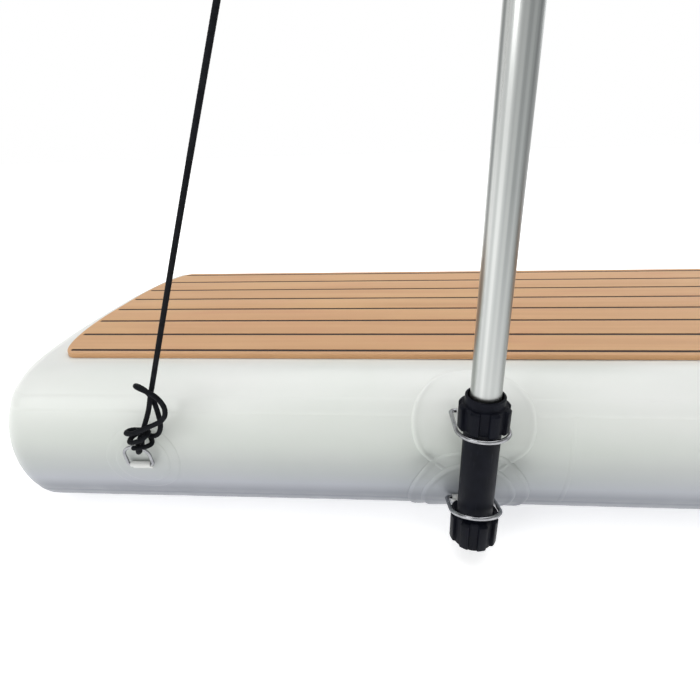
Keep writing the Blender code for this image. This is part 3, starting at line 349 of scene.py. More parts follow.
class Recipe:
    """One material's nodes. Places are in metres, in the object's own frame."""

    def __init__(self, name, metallic=0.0, **sockets):
        self.material = bpy.data.materials.new(name)
        self.material.use_nodes = True
        self.tree = self.material.node_tree
        self.shader = self.tree.nodes["Principled BSDF"]
        self.shader.inputs["Metallic"].default_value = metallic
        for socket, value in sockets.items():
            self.shader.inputs[socket.replace("_", " ")].default_value = value
        self.place = self.tree.nodes.new("ShaderNodeTexCoord").outputs["Object"]
        self.normal = None

    def add(self, kind, values=None, links=None, **settings):
        made = self.tree.nodes.new(kind)
        for key, value in settings.items():
            setattr(made, key, value)
        for key, value in (values or {}).items():
            made.inputs[key].default_value = value
        for key, socket in (links or {}).items():
            self.tree.links.new(socket, made.inputs[key])
        return made

    def noise(self, stretch, detail=3.0, warp=0.0):
        """A noise with stretch waves in each metre, or in each metre of X, Y and Z."""
        if isinstance(stretch, float):
            stretch = (stretch, stretch, stretch)
        place = self.add("ShaderNodeVectorMath", {1: stretch}, {0: self.place},
                         operation="MULTIPLY").outputs[0]
        return self.add("ShaderNodeTexNoise", {"Scale": 1.0, "Detail": detail,
                        "Distortion": warp}, {"Vector": place}).outputs[0]

    def maths(self, operation, a, b):
        values = {i: v for i, v in enumerate((a, b)) if isinstance(v, (int, float))}
        links = {i: v for i, v in enumerate((a, b)) if i not in values}
        return self.add("ShaderNodeMath", values, links, operation=operation).outputs[0]

    def axis(self, name):
        return self.add("ShaderNodeSeparateXYZ", links={0: self.place}).outputs[name]

    def between(self, factor, low, high, start=0.3, end=0.7):
        """A number that goes from low to high as factor goes from start to end."""
        return self.add("ShaderNodeMapRange", {"From Min": start, "From Max": end,
                        "To Min": low, "To Max": high}, {"Value": factor}).outputs[0]

    def colours(self, factor, *stops):
        """A colour ramp: stops are (place, colour)."""
        ramp = self.add("ShaderNodeValToRGB", links={"Fac": factor})
        set_ramp(ramp, stops)
        return ramp.outputs["Color"]

    def mix(self, factor, a, b, blend="MIX"):
        mixer = self.add("ShaderNodeMix", data_type="RGBA", blend_type=blend)
        for index, socket in ((0, factor), (6, a), (7, b)):
            if isinstance(socket, (int, float)):
                mixer.inputs[index].default_value = socket
            elif isinstance(socket, tuple):
                mixer.inputs[index].default_value = (*socket, 1.0)
            else:
                self.tree.links.new(socket, mixer.inputs[index])
        return mixer.outputs[2]

    def bump(self, height, distance):
        links = {"Height": height}
        if self.normal:
            links["Normal"] = self.normal
        self.normal = self.add("ShaderNodeBump", {"Strength": 1.0, "Distance": distance},
                               links).outputs[0]

    def done(self, colour, roughness=None):
        self.tree.links.new(colour, self.shader.inputs["Base Color"])
        if roughness:
            self.tree.links.new(roughness, self.shader.inputs["Roughness"])
        if self.normal:
            self.tree.links.new(self.normal, self.shader.inputs["Normal"])
        return self.material


# Painted shade on the white wall by its height, as a share of the hull's: its colour is
# multiplied darker and bluer towards the bottom
WALL_PAINTED_SHADE = ((0.0, (0.30, 0.31, 0.35)), (0.25, (0.25, 0.26, 0.30)), (0.33, (0.40, 0.41, 0.46)),
              (0.42, (0.45, 0.465, 0.48)), (0.5, (0.52, 0.535, 0.53)), (0.62, (0.67, 0.69, 0.66)),
              (0.78, (0.86, 0.87, 0.84)), (0.9, (0.98, 0.98, 0.96)))


def white_pvc():
    recipe = Recipe("white_pvc", Coat_Weight=0.12, Coat_Roughness=0.25)
    patches = recipe.noise((5.0, 5.0, 9.0), detail=4.0)
    colour = recipe.colours(patches, (0.3, (0.77, 0.80, 0.775)), (0.7, (0.83, 0.84, 0.835)))
    # Painted shade at the foot of the wall: a bluish grey mixed in over the lowest 6 cm, fading
    # upwards and blotched by a noise
    bottom_shade_noise = recipe.noise((14.0, 14.0, 30.0), detail=6.0)
    low = recipe.between(recipe.axis("Z"), 0.75, 0.0, start=0.0, end=0.06)
    bottom_shade = recipe.maths("MULTIPLY", low, recipe.between(bottom_shade_noise, 0.55, 1.0))
    colour = recipe.mix(bottom_shade, colour, (0.52, 0.53, 0.57))
    height = recipe.maths("MULTIPLY", recipe.axis("Z"), 1 / (2 * HALF_HEIGHT))
    # painted shade: the wall's colour multiplied darker and bluer towards the bottom
    shade = recipe.colours(height, *WALL_PAINTED_SHADE)
    colour = recipe.mix(1.0, colour, shade, blend="MULTIPLY")
    recipe.bump(recipe.noise((11.0, 11.0, 14.0), detail=2.0), 0.0016)
    recipe.bump(recipe.noise(900.0, detail=2.0), 0.00004)
    rough = recipe.between(recipe.noise(30.0, detail=5.0), 0.3, 0.42)
    return recipe.done(colour, rough)


def teak_foam():
    recipe = Recipe("teak_foam", Sheen_Weight=0.15, Sheen_Roughness=0.5)
    across = recipe.axis("Y")
    plank = recipe.maths("FLOOR", recipe.maths("DIVIDE", across, PITCH), 0.0)
    tone = recipe.add("ShaderNodeTexWhiteNoise", links={"W": plank},
                      noise_dimensions="1D").outputs[0]
    streaks = recipe.noise((2.2, 70.0, 1.0), detail=6.0, warp=0.4)
    colour = recipe.colours(streaks, (0.3, (0.57, 0.30, 0.130)), (0.5, (0.62, 0.345, 0.160)),
                            (0.7, (0.66, 0.385, 0.190)))
    blotches = recipe.noise((5.0, 16.0, 1.0), detail=4.0, warp=0.6)
    reddish = recipe.between(blotches, 0.0, 0.4, start=0.52, end=0.72)
    colour = recipe.mix(reddish, colour, (0.60, 0.28, 0.14))
    yellow = recipe.between(recipe.noise((3.4, 11.0, 2.0), detail=3.0), 0.0, 0.45,
                            start=0.5, end=0.7)
    colour = recipe.mix(yellow, colour, (0.70, 0.43, 0.19))
    colour = recipe.mix(recipe.between(tone, 0.0, 0.12, start=0.0, end=1.0), colour,
                        (0.80, 0.52, 0.30))
    fibres = recipe.noise((90.0, 1500.0, 400.0), detail=3.0)
    colour = recipe.mix(recipe.between(fibres, 0.0, 0.14), colour, (0.46, 0.25, 0.13))
    recipe.bump(fibres, 0.00025)
    recipe.bump(recipe.noise((12.0, 260.0, 40.0), detail=3.0), 0.0002)
    return recipe.done(colour, recipe.between(streaks, 0.62, 0.8))


def black_plastic():
    recipe = Recipe("black_plastic", Specular_IOR_Level=0.07)
    mottle = recipe.noise(60.0, detail=5.0)
    colour = recipe.colours(mottle, (0.3, (0.0025, 0.0032, 0.006)), (0.75, (0.006, 0.007, 0.012)))
    scuffs = recipe.noise((700.0, 700.0, 40.0), detail=2.0)
    colour = recipe.mix(recipe.between(scuffs, 0.0, 0.35, start=0.66, end=0.8), colour,
                        (0.035, 0.038, 0.046))
    recipe.bump(recipe.noise(1400.0, detail=2.0), 0.00005)
    recipe.bump(recipe.noise((45.0, 45.0, 30.0), detail=2.0), 0.0002)
    return recipe.done(colour, recipe.between(mottle, 0.34, 0.5))


def aluminium():
    recipe = Recipe("aluminium", metallic=1.0)
    # Broad vertical bands round the tube, from dark to light grey: partly the real streaks of the
    # extruded tube, partly a painted reflection of dark surroundings. Below 0.42 m they are mixed
    # partly into the light grey
    streaks_and_reflection = recipe.noise((85.0, 85.0, 0.35), detail=1.0)
    colour = recipe.colours(streaks_and_reflection, (0.38, (0.15, 0.16, 0.16)), (0.5, (0.26, 0.275, 0.27)),
                            (0.62, (0.56, 0.575, 0.56)))
    low = recipe.between(recipe.axis("Z"), 0.6, 0.0, start=0.2, end=0.42)
    colour = recipe.mix(low, colour, (0.56, 0.575, 0.56))
    fine = recipe.noise((1600.0, 1600.0, 5.0), detail=3.0)
    colour = recipe.mix(recipe.between(fine, 0.0, 0.25), colour, (0.40, 0.41, 0.41))
    recipe.bump(fine, 0.00006)
    return recipe.done(colour, recipe.between(streaks_and_reflection, 0.38, 0.26))


def webbing():
    recipe = Recipe("white_webbing", Sheen_Weight=0.2, Sheen_Roughness=0.4)
    warp = recipe.add("ShaderNodeTexWave", {"Scale": 130.0, "Distortion": 0.6},
                      {"Vector": recipe.place}, bands_direction="X").outputs[0]
    weft = recipe.add("ShaderNodeTexWave", {"Scale": 170.0, "Distortion": 0.6},
                      {"Vector": recipe.place}, bands_direction="Z").outputs[0]
    weave = recipe.maths("MAXIMUM", warp, weft)
    shade = recipe.noise(60.0, detail=4.0)
    colour = recipe.colours(shade, (0.3, (0.56, 0.57, 0.55)), (0.7, (0.64, 0.65, 0.64)))
    colour = recipe.mix(recipe.between(weave, 0.18, 0.0, start=0.0, end=0.5), colour,
                        (0.50, 0.50, 0.48))
    recipe.bump(weave, 0.00018)
    return recipe.done(colour, recipe.between(shade, 0.6, 0.8))


# Looks of one noise each: its waves per metre and detail, two colours, the roughness, the depth
# of the bump, and the waves of a finer noise for it where it has its own
PLAIN_LOOKS = {
    "dark_foam": {"stretch": (300.0, 900.0, 300.0), "detail": 3.0, "dark": (0.020, 0.011, 0.008),
                  "light": (0.042, 0.023, 0.017), "rough": (0.75, 0.9), "bump": 0.0002},
    "grey_plastic": {"stretch": 80.0, "detail": 5.0, "dark": (0.27, 0.28, 0.29),
                     "light": (0.33, 0.34, 0.35), "rough": (0.38, 0.52), "bump": 0.00005,
                     "fine": 1300.0},
    "black_rubber": {"stretch": 200.0, "detail": 4.0, "dark": (0.015, 0.015, 0.015),
                     "light": (0.03, 0.03, 0.03), "rough": (0.7, 0.85), "bump": 0.0001},
    "stainless_steel": {"stretch": 120.0, "detail": 4.0, "dark": (0.24, 0.245, 0.26),
                        "light": (0.40, 0.405, 0.42), "rough": (0.14, 0.28), "bump": 0.00003,
                        "fine": (900.0, 90.0, 900.0), "metallic": 1.0},
    "polyester_fabric": {"stretch": 500.0, "detail": 3.0, "dark": (0.72, 0.72, 0.69),
                         "light": (0.82, 0.82, 0.80), "rough": (0.7, 0.9), "bump": 0.0002},
}


def plain_look(name, stretch, detail, dark, light, rough, bump, fine=None, metallic=0.0):
    recipe = Recipe(name, metallic=metallic)
    mottle = recipe.noise(stretch, detail=detail)
    colour = recipe.colours(mottle, (0.3, dark), (0.7, light))
    recipe.bump(recipe.noise(fine, detail=2.0) if fine else mottle, bump)
    return recipe.done(colour, recipe.between(mottle, *rough))


def rope_yarn():
    recipe = Recipe("black_rope", Specular_IOR_Level=0.06)
    yarn = recipe.noise((2400.0, 2400.0, 1200.0), detail=3.0)
    shade = recipe.noise(160.0, detail=4.0)
    colour = recipe.colours(shade, (0.3, (0.004, 0.0045, 0.006)), (0.7, (0.009, 0.010, 0.0125)))
    # painted highlights: fine flecks on the fibres, lighter than the black yarn
    colour = recipe.mix(recipe.between(yarn, 0.0, 0.5, start=0.5, end=0.8), colour,
                        (0.02, 0.0215, 0.025))
    recipe.bump(yarn, 0.00025)
    return recipe.done(colour, recipe.between(yarn, 0.5, 0.75))


def build_materials():
    materials = {name: plain_look(name, **look) for name, look in PLAIN_LOOKS.items()}
    materials.update(white_pvc=white_pvc(), teak_foam=teak_foam(), white_webbing=webbing(),
                     black_rope=rope_yarn(), black_plastic=black_plastic(),
                     aluminium=aluminium())
    return materials


# Camera


def build_camera():
    data = bpy.data.cameras.new("camera")
    data.sensor_width = SENSOR
    data.lens = SENSOR * FOCAL_SHARE
    data.clip_start = NEAR_CLIP
    camera = bpy.data.objects.new("camera", data)
    camera.matrix_world = (Matrix.Translation(CAMERA_PLACE)
                           @ Matrix.Rotation(-CAMERA_YAW, 4, "Z")
                           @ Matrix.Rotation(math.pi / 2 - CAMERA_PITCH, 4, "X")
                           @ Matrix.Rotation(-CAMERA_ROLL, 4, "Z"))
    bpy.context.scene.collection.objects.link(camera)
    bpy.context.scene.camera = camera


# Rope


def smooth_route(route, steps):
    """A Catmull-Rom curve through every point of the route."""
    points = np.array(route, float)
    points = np.vstack([points[:1] * 2 - points[1:2], points, points[-1:] * 2 - points[-2:-1]])
    t = (np.arange(steps) / steps)[:, None]
    curve = []
    for a, b, c, d in zip(points, points[1:], points[2:], points[3:]):
        curve.append(0.5 * (2 * b + (c - a) * t + (2 * a - 5 * b + 4 * c - d) * t ** 2
                            + (3 * b - a - 3 * c + d) * t ** 3))
    return np.vstack(curve + [points[-2:-1]])


def evenly(points, step):
    """The same line with its points a step apart, and its length."""
    gaps = np.linalg.norm(np.diff(points, axis=0), axis=1)
    along = np.concatenate([[0.0], np.cumsum(gaps)])
    count = int(round(along[-1] / step))
    places = np.linspace(0.0, along[-1], count + 1)
    even = np.stack([np.interp(places, along, points[:, k]) for k in range(3)], axis=1)
    return even, float(along[-1])


def side_vectors(points):
    """Two directions across the line at each point, without twist."""
    tangents = np.gradient(points, axis=0)
    tangents /= np.linalg.norm(tangents, axis=1)[:, None]
    side = np.cross(tangents[0], (0.0, 1.0, 0.0))
    sides = []
    for tangent in tangents:
        side = side - tangent * side.dot(tangent)
        side = side / np.linalg.norm(side)
        sides.append(side)
    sides = np.array(sides)
    return sides, np.cross(tangents, sides)


def braided_tube(points, tip=False):
    """A tube along the points with the ridges of a braid; a tip is melted round."""
    sides, others = side_vectors(points)
    around = 2 * math.pi * np.arange(ROPE_SIDES) / ROPE_SIDES
    along = np.arange(len(points))[:, None] * ROPE_STEP
    turn = 2 * math.pi * along / BRAID_TURN
    ridge = np.maximum(np.cos(BRAID_STRANDS * (around + turn) / 2) ** 2,
                       np.cos(BRAID_STRANDS * (around - turn) / 2) ** 2)
    radius = ROPE / 2 - BRAID_DEPTH * (1 - ridge)
    if tip:
        left = (len(points) - 1 - np.arange(len(points)))[:, None] * ROPE_STEP
        share = np.clip(left / (ROPE / 2), 0.02, 1.0)
        radius = radius * np.sqrt(1 - (1 - share) ** 2)
    rows = (points[:, None, :] + sides[:, None, :] * (radius * np.cos(around))[:, :, None]
            + others[:, None, :] * (radius * np.sin(around))[:, :, None])
    return loft(rows.tolist())


# Name, route, points between two of the route's, and what the piece ends in
ROPE_PIECES = (("ring_knot", KNOT_ROUTE, 12, "knot"),
               ("rope_lower_leg", LOWER_LEG_ROUTE, 30, "object"),
               ("rope_upper", UPPER_ROUTE, 30, "object"))


def build_rope(material):
    """The knots ride on their rings and the lower legs stay in place on no body; the rest stays
    with the hull.
    """
    for end, x_sign in ENDS:
        mirror = (-x_sign, 1.0, 1.0)
        for name, route, steps, far_end in ROPE_PIECES:
            points, length = evenly(smooth_route(route, steps), ROPE_STEP)
            points = points * mirror
            node = f"{name}_{end}"
            cord = add_mesh(f"{node}_braid", braided_tube(points, tip=name == "ring_knot"),
                            material, crease=70)
            if name == "rope_lower_leg":
                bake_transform(cord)
                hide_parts(node)
            else:
                dress(cord, node)


# Hull


def wall_columns():
    """Base points and outward directions round the hull, anticlockwise."""
    straight_x, straight_y = HALF_LENGTH - CORNER_ALONG, HALF_WIDTH - CORNER_ACROSS
    columns = []
    for quarter, (sx, sy) in enumerate(QUARTERS):
        for i in range(CORNER_COLUMNS):
            t = math.pi / 2 * (quarter + i / CORNER_COLUMNS)
            x, y = math.cos(t), math.sin(t)
            columns.append((sx * straight_x + CORNER_ALONG * x,
                            sy * straight_y + CORNER_ACROSS * y, x, y))
        long_side = quarter % 2 == 0
        count = int(2 * (straight_x if long_side else straight_y) / COLUMN_STEP)
        for slide in (1 - 2 * i / count for i in range(count)):
            if long_side:
                columns.append((sx * straight_x * slide, sy * HALF_WIDTH, 0.0, sy))
            else:
                columns.append((sx * HALF_LENGTH, sy * straight_y * slide, sx, 0.0))
    columns = np.array(columns, float)
    return columns[:, :2], columns[:, 2:]


ANGLES = np.linspace(-math.pi / 2, math.pi / 2, 2001)
ARC_STEPS = np.hypot(SIDE_BULGE * np.sin(ANGLES), HALF_HEIGHT * np.cos(ANGLES))
ARCS = np.concatenate([[0.0], np.cumsum((ARC_STEPS[1:] + ARC_STEPS[:-1]) / 2
                                        * (ANGLES[1] - ANGLES[0]))])


def arc_at(angle):
    return np.interp(angle, ANGLES, ARCS)


def angle_at(arc):
    return np.interp(arc, ARCS, ANGLES)


def arc_at_height(z):
    return float(arc_at(math.asin(z / HALF_HEIGHT - 1)))


SEAMS = (float(arc_at(-SEAM_ANGLE)), float(arc_at(SEAM_ANGLE)))


def bell(value, width):
    return np.exp(-(value / width) ** 2)


# Where rings pull the wall: (x from the ring, height, pull, spread along, spread up)
MOUNT_PULLS = ((0.0, 0.166, 0.0012, 0.034, 0.017), (0.0, 0.055, 0.0036, 0.036, 0.016),
               (-0.044, 0.108, -0.0075, 0.022, 0.014), (0.044, 0.108, -0.0075, 0.022, 0.014),
               (0.0, 0.105, -0.0022, 0.04, 0.015))
END_PULL = (END_BAR[2] - 0.003, 0.0006, 0.026, 0.014)
PULLS = [(-1.0, x_sign * POST_X + offset, *pull)
         for _, x_sign in ENDS for offset, *pull in MOUNT_PULLS]
PULLS += [(side, x_sign * END_BAR[0], *END_PULL) for _, side in SIDES for _, x_sign in ENDS]


def ripple(x, y, arc):
    """How far the wall stands out from a true ellipse at each point."""
    rise = RIPPLE * np.sin(8.3 * x + 2.1 * np.sin(5.7 * y) + 9 * arc) * np.sin(11 * arc + 1.7)
    for seam in SEAMS:
        wave = np.sin(2 * math.pi * (x + y) / PUCKER_PITCH + 1.9 * np.sin(13 * x + 7 * y))
        rise = rise + PUCKER * wave * bell(arc - seam, PUCKER_SPREAD)
    for side, px, pz, pull, along, up in PULLS:
        near = (y * side > 0).astype(float)
        rise = rise + near * pull * bell(x - px, along) * bell(arc - arc_at_height(pz), up)
    return rise


def tape_rise(arc):
    """The height of the weld tape under a patch that crosses it."""
    rise = 0.0 * arc
    for seam in SEAMS:
        rise = rise + TAPE / (1 + np.exp((np.abs(arc - seam) - TAPE_WIDTH / 2) / TAPE_FADE))
    return rise


def on_wall(bases, outs, arc, proud):
    """Points on the wall at arc length arc up it and proud of it by proud."""
    angle = angle_at(arc)
    across, up = HALF_HEIGHT * np.cos(angle), SIDE_BULGE * np.sin(angle)
    norm = np.hypot(across, up)
    rise = proud - WITHIN_FACETS + ripple(bases[..., 0], bases[..., 1], arc)
    step = -SIDE_BULGE * (1 - np.cos(angle)) + rise * across / norm
    height = HALF_HEIGHT * (1 + np.sin(angle)) + rise * up / norm
    height = np.clip(height, FLAT_MARGIN, 2 * HALF_HEIGHT - FLAT_MARGIN)
    flat = bases + outs * step[..., None]
    return np.concatenate([flat, height[..., None]], axis=-1)


def band_rows(section, columns):
    """Rings round the hull for (arc, proud) points."""
    bases, outs = columns
    return [on_wall(bases, outs, np.full(len(bases), arc), proud) for arc, proud in section]


def side_patch(centre_x, centre_arc, side, radius, levels):
    """A round patch on the wall: levels are (inset from its edge, proud)."""
    turn = np.array(circle(PATCH_COLUMNS))
    rows = []
    for inset, proud in levels:
        reach = max(radius - inset, PATCH_TINY)
        x = centre_x + reach * np.cos(turn)
        arc = centre_arc + reach * np.sin(turn)
        bases = np.stack([x, np.full_like(x, side * HALF_WIDTH)], axis=-1)
        outs = np.stack([0 * x, np.full_like(x, float(side))], axis=-1)
        rows.append(on_wall(bases, outs, arc, proud + tape_rise(arc)))
    return loft(rows)


def patch_levels(radius, low, high, rim):
    """From the middle of the outer face, over the welded rim, to the inner face."""
    flat = [radius * (1 - share) for share in np.linspace(0.0, 0.96, 14)]
    levels = [(inset, high) for inset in flat if inset > PATCH_EDGE * 2.4]
    levels += [(PATCH_EDGE * inset, high + rim * rise) for inset, rise in RIM_SHAPE]
    levels += [(PATCH_EDGE * 0.2, high), (0.0, low), (PATCH_EDGE * 0.3, low - TAPE_SUNK)]
    levels += [(radius * (1 - share), low - TAPE_SUNK) for share in np.linspace(0.96, 0.0, 8)]
    return levels


def build_hull(material, columns):
    """The top, side and bottom skins, each a closed shell that ends at a seam."""
    low, high = SEAMS
    for name, node, start, end, rows in (
            ("hull_top", "hull_top_skin", high + SEAM_GAP, ARCS[-1], SHOULDER_ROWS),
            ("hull_side", "hull_side_band", low + SEAM_GAP, high - SEAM_GAP, WALL_ROWS),
            ("hull_underside", "hull_bottom_skin", 0.0, low - SEAM_GAP, SHOULDER_ROWS)):
        arcs = np.linspace(start, end, rows)
        outer = band_rows([(arc, 0.0) for arc in arcs], columns)
        inner = band_rows([(arc, -SKIN) for arc in arcs[::-1]], columns)
        if name == "hull_side":
            solid = joined(loft(outer + inner, looped=True), lap_strip())
        else:
            solid = tray(outer, inner, name == "hull_top")
        if name == "hull_top":
            solid = drilled(solid, VALVE_HOLE, material)
        dress(add_mesh(name, solid, material, crease=60), node)


def lap_strip():
    """The edge of the side band's overlap, as a low strip up the near wall."""
    rows = []
    for arc in np.linspace(SEAMS[0] + TAPE_WIDTH / 2, SEAMS[1] - TAPE_WIDTH / 2, WALL_ROWS):
        x = LAP_X + LAP_WIDTH * np.array([-0.5, -0.3, 0.3, 0.5, 0.4, -0.4])
        proud = np.array([0.0, LAP, LAP, 0.0, -TAPE_SUNK, -TAPE_SUNK])
        bases = np.stack([x, np.full_like(x, -HALF_WIDTH)], axis=-1)
        outs = np.stack([0 * x, 0 * x - 1.0], axis=-1)
        rows.append(on_wall(bases, outs, np.full_like(x, arc), proud))
    return loft(rows)


def tray(outer, inner, lid_on_top):
    """A closed shell of a rim and a flat lid. The lid is where the two rows meet last."""
    rows = outer + inner if lid_on_top else inner + outer
    verts, faces = loft(rows, looped=True)
    count = len(rows[0])
    seam = len(outer) - 1
    faces = [face for face in faces if {i // count for i in face} != {seam, seam + 1}]
    faces += [tuple(range(row * count, (row + 1) * count)) for row in (seam, seam + 1)]
    return verts, faces


def build_tapes(material, columns):
    for seam, node in zip(SEAMS, ("seam_tape_lower", "seam_tape_upper")):
        half = TAPE_WIDTH / 2
        slope = half - TAPE_BEVEL * 0.4
        section = [(seam - half, 0.0), (seam - slope, TAPE * 0.75)]
        section += [(seam + share * (half - TAPE_BEVEL), TAPE) for share in np.linspace(-1, 1, 7)]
        section += [(seam + slope, TAPE * 0.75), (seam + half, 0.0),
                    (seam + half, -TAPE_SUNK), (seam - half, -TAPE_SUNK)]
        dress(add_mesh(f"weld_{node}", loft(band_rows(section, columns), looped=True),
                       material, crease=70), node)


# Patches, rings and sleeves


def weld_discs(node, x, height, side, discs, rim, material):
    """Round patches on the wall about one middle."""
    arc = arc_at_height(height)
    solids = []
    for radius, low, high in discs:
        radius = min(radius, arc - GROUND_GAP)
        solids.append(side_patch(x, arc, side, radius, patch_levels(radius, low, high, rim)))
    piece(node, "discs" if len(discs) > 1 else "disc", joined(*solids), material, crease=50)


def build_patches(material):
    for end, x_sign in ENDS:
        for depth, side in SIDES:
            weld_discs(f"end_patch_{depth}_{end}", x_sign * END_BAR[0], END_PATCH_Z, side,
                       END_DISCS, END_PATCH_RIM, material)
        for level, height, discs in (("upper", UPPER_PATCH_Z, UPPER_DISCS),
                                     ("lower", LOWER_PATCH_Z, LOWER_DISCS)):
            weld_discs(f"mount_patch_{level}_{end}", x_sign * POST_X, height, -1.0, discs,
                       PATCH_RIM, material)


def d_path(half, depth, bend, arch_steps=40, bend_steps=8):
    """A D in the XY plane with its bar on the X axis and its arch at y = depth."""
    path = []
    for x, y, radius, start, sweep, steps in (
            (half - bend, bend, bend, 1.5, 0.5, bend_steps),
            (0.0, depth - half, half, 0.0, 1.0, arch_steps),
            (bend - half, bend, bend, 1.0, 0.5, bend_steps)):
        for i in range(steps + 1):
            t = math.pi * (start + sweep * i / steps)
            path.append(Vector((x + radius * math.cos(t), y + radius * math.sin(t), 0.0)))
    return path


def d_ring(inner_width, wire, depth, bend, sides=20):
    path = d_path((inner_width + wire) / 2, depth, bend)
    count = len(path)
    rows = []
    for i, point in enumerate(path):
        along = (path[(i + 1) % count] - path[i - 1]).normalized()
        out = Vector((along.y, -along.x, 0.0))
        rows.append([tuple(point + out * (wire / 2 * math.cos(t))
                           + Vector((0.0, 0.0, wire / 2 * math.sin(t))))
                     for t in circle(sides)])
    return loft(rows, looped=True)


def wall_tilt(normal_up):
    """The turn about X that lays a piece's Z axis along the near wall's outward normal."""
    return math.pi / 2 - math.asin(normal_up)


def webbing_sleeve(wire, length, leg, fold_steps=24, rows=15):
    """Webbing folded round a bar on the X axis, with its two legs welded flat below it."""
    outer = wire / 2 + SLEEVE_GAP + WEBBING
    tip = -leg - WEBBING / 3
    section = [(-leg, WEBBING - outer), (tip, WEBBING / 2 - outer), (-leg, -outer)]
    for i in range(fold_steps + 1):
        t = math.pi * (1.5 + 1.32 * i / fold_steps)
        section.append((outer * math.cos(t), outer * math.sin(t)))
    section += [(-outer * 1.15, -outer * 0.2), (-outer * 1.7, WEBBING * 1.9 - outer),
                (-leg, WEBBING * 1.6 - outer), (tip, WEBBING * 1.3 - outer)]
    levels = []
    for share in np.linspace(-1.0, 1.0, rows):
        swell = 1 + 0.05 * (1 - share ** 2) + 0.012 * math.sin(9 * share + 1)
        levels.append([(share * length / 2, y * swell if y > -outer else y, z)
                       for y, z in section])
    return loft(levels)


def build_rings(materials):
    steel, web = materials["stainless_steel"], materials["white_webbing"]
    end_ring = d_ring(**END_RING)
    end_fold = moved(webbing_sleeve(**END_SLEEVE), at((0.0, 0.0, 0.0), wall_tilt(END_WALL_RISE)))
    for end, x_sign in ENDS:
        for depth, side in SIDES:
            place = (x_sign * END_BAR[0], side * END_BAR[1], END_BAR[2])
            ring = moved(end_ring, at(place, END_RING_TURN[depth]))
            piece(f"end_ring_{depth}_{end}", "wire", ring, steel)
            flip = at(place) @ Matrix.Scale(-side, 4, (0.0, 1.0, 0.0))
            piece(f"end_ring_sleeve_{depth}_{end}", "fold", moved(end_fold, flip), web)
        for level, y, z, reach, tilt, rise in MOUNT_RINGS:
            place = (x_sign * POST_X, y, z)
            turn = math.pi - math.radians(tilt)
            ring = moved(d_ring(depth=reach, **MOUNT_RING), at(place, turn))
            piece(f"mount_ring_{level}_{end}", "wire", ring, steel)
            fold = moved(webbing_sleeve(**MOUNT_SLEEVE), at(place, wall_tilt(rise)))
            piece(f"mount_sleeve_{level}_{end}", "fold", fold, web)


# Deck pad


def pad_reach(y, inset):
    """Half the pad's length at y, for an outline drawn in by inset."""
    half_width, across = PAD_HALF_WIDTH - inset, PAD_CORNER_ACROSS - inset
    along = PAD_CORNER_ALONG - inset
    over = np.clip((np.abs(y) - (half_width - across)) / across, 0.0, 1.0)
    return PAD_HALF_LENGTH - inset - along * (1 - np.sqrt(1 - over ** 2))


def pad_outline(inset, steps=20):
    """The pad's outline drawn in by inset, anticlockwise."""
    along, across = PAD_CORNER_ALONG, PAD_CORNER_ACROSS
    points = []
    for quarter, (sx, sy) in enumerate(QUARTERS):
        for i in range(steps + 1):
            t = math.pi / 2 * (quarter + i / steps)
            points.append((sx * (PAD_HALF_LENGTH - along) + (along - inset) * math.cos(t),
                           sy * (PAD_HALF_WIDTH - across) + (across - inset) * math.sin(t)))
    return points


def smooth_drop(distance, reach, depth):
    """A rounded shoulder: depth at an edge, zero from reach inwards."""
    share = np.clip(1 - distance / reach, 0.0, 1.0)
    return depth * (1 - np.sqrt(1 - share ** 2))


def from_seam(y):
    """How far y is from the middle of the nearest seam."""
    return np.abs(y - (np.floor(y / PITCH) + 0.5) * PITCH)


def grid_faces(there):
    """A slab's faces: its top and underside in the cells that are there, and its edges."""
    rows, cols = there.shape[0] + 1, there.shape[1] + 1
    below = rows * cols
    faces = []
    for r, c in np.argwhere(there).tolist():
        a = r * cols + c
        b, d, e = a + 1, a + cols + 1, a + cols
        faces += [(a, b, d, e), (a + below, e + below, d + below, b + below)]
        for (i, j), (nr, nc) in (((a, b), (r - 1, c)), ((b, d), (r, c + 1)),
                                 ((d, e), (r + 1, c)), ((e, a), (r, c - 1))):
            inside = 0 <= nr < rows - 1 and 0 <= nc < cols - 1
            if not inside or not there[nr, nc]:
                faces.append((i, i + below, j + below, j))
    return faces


def slab(rows_y, columns, top, low, inset=0.0, grooved=False):
    """A closed slab on the pad's outline. columns are (share, offset) places on a row."""
    reach = pad_reach(rows_y, inset)
    x = np.array([[share * r + offset for share, offset in columns] for r in reach])
    y = np.repeat(rows_y[:, None], len(columns), axis=1)
    edge = np.minimum(np.minimum(x + reach[:, None], reach[:, None] - x),
                      (PAD_HALF_WIDTH - inset) - np.abs(y))
    high = top - smooth_drop(edge, 0.0012, 0.001)
    there = np.ones((len(rows_y) - 1, len(columns) - 1), bool)
    if grooved:
        past = np.abs(x) - (reach[:, None] - GROOVE_END)
        high = high - smooth_drop(np.maximum(from_seam(y) - GROOVE / 2, past), 0.0011, 0.0009)
        there = plank_cells(rows_y, x, reach)
    layers = [np.stack([x, y, z], axis=-1).reshape(-1, 3) for z in (high, np.full_like(x, low))]
    return np.vstack(layers).tolist(), grid_faces(there)


def plank_cells(rows_y, x, reach):
    """The cells of the plank layer, so all but those in a groove."""
    in_groove = from_seam((rows_y[1:] + rows_y[:-1]) / 2) < GROOVE / 2
    middle_x = (x[:-1, 1:] + x[1:, 1:] + x[:-1, :-1] + x[1:, :-1]) / 4
    row_reach = (reach[1:] + reach[:-1])[:, None] / 2
    inside = np.abs(middle_x) < row_reach - GROOVE_END
    return ~(in_groove[:, None] & inside)


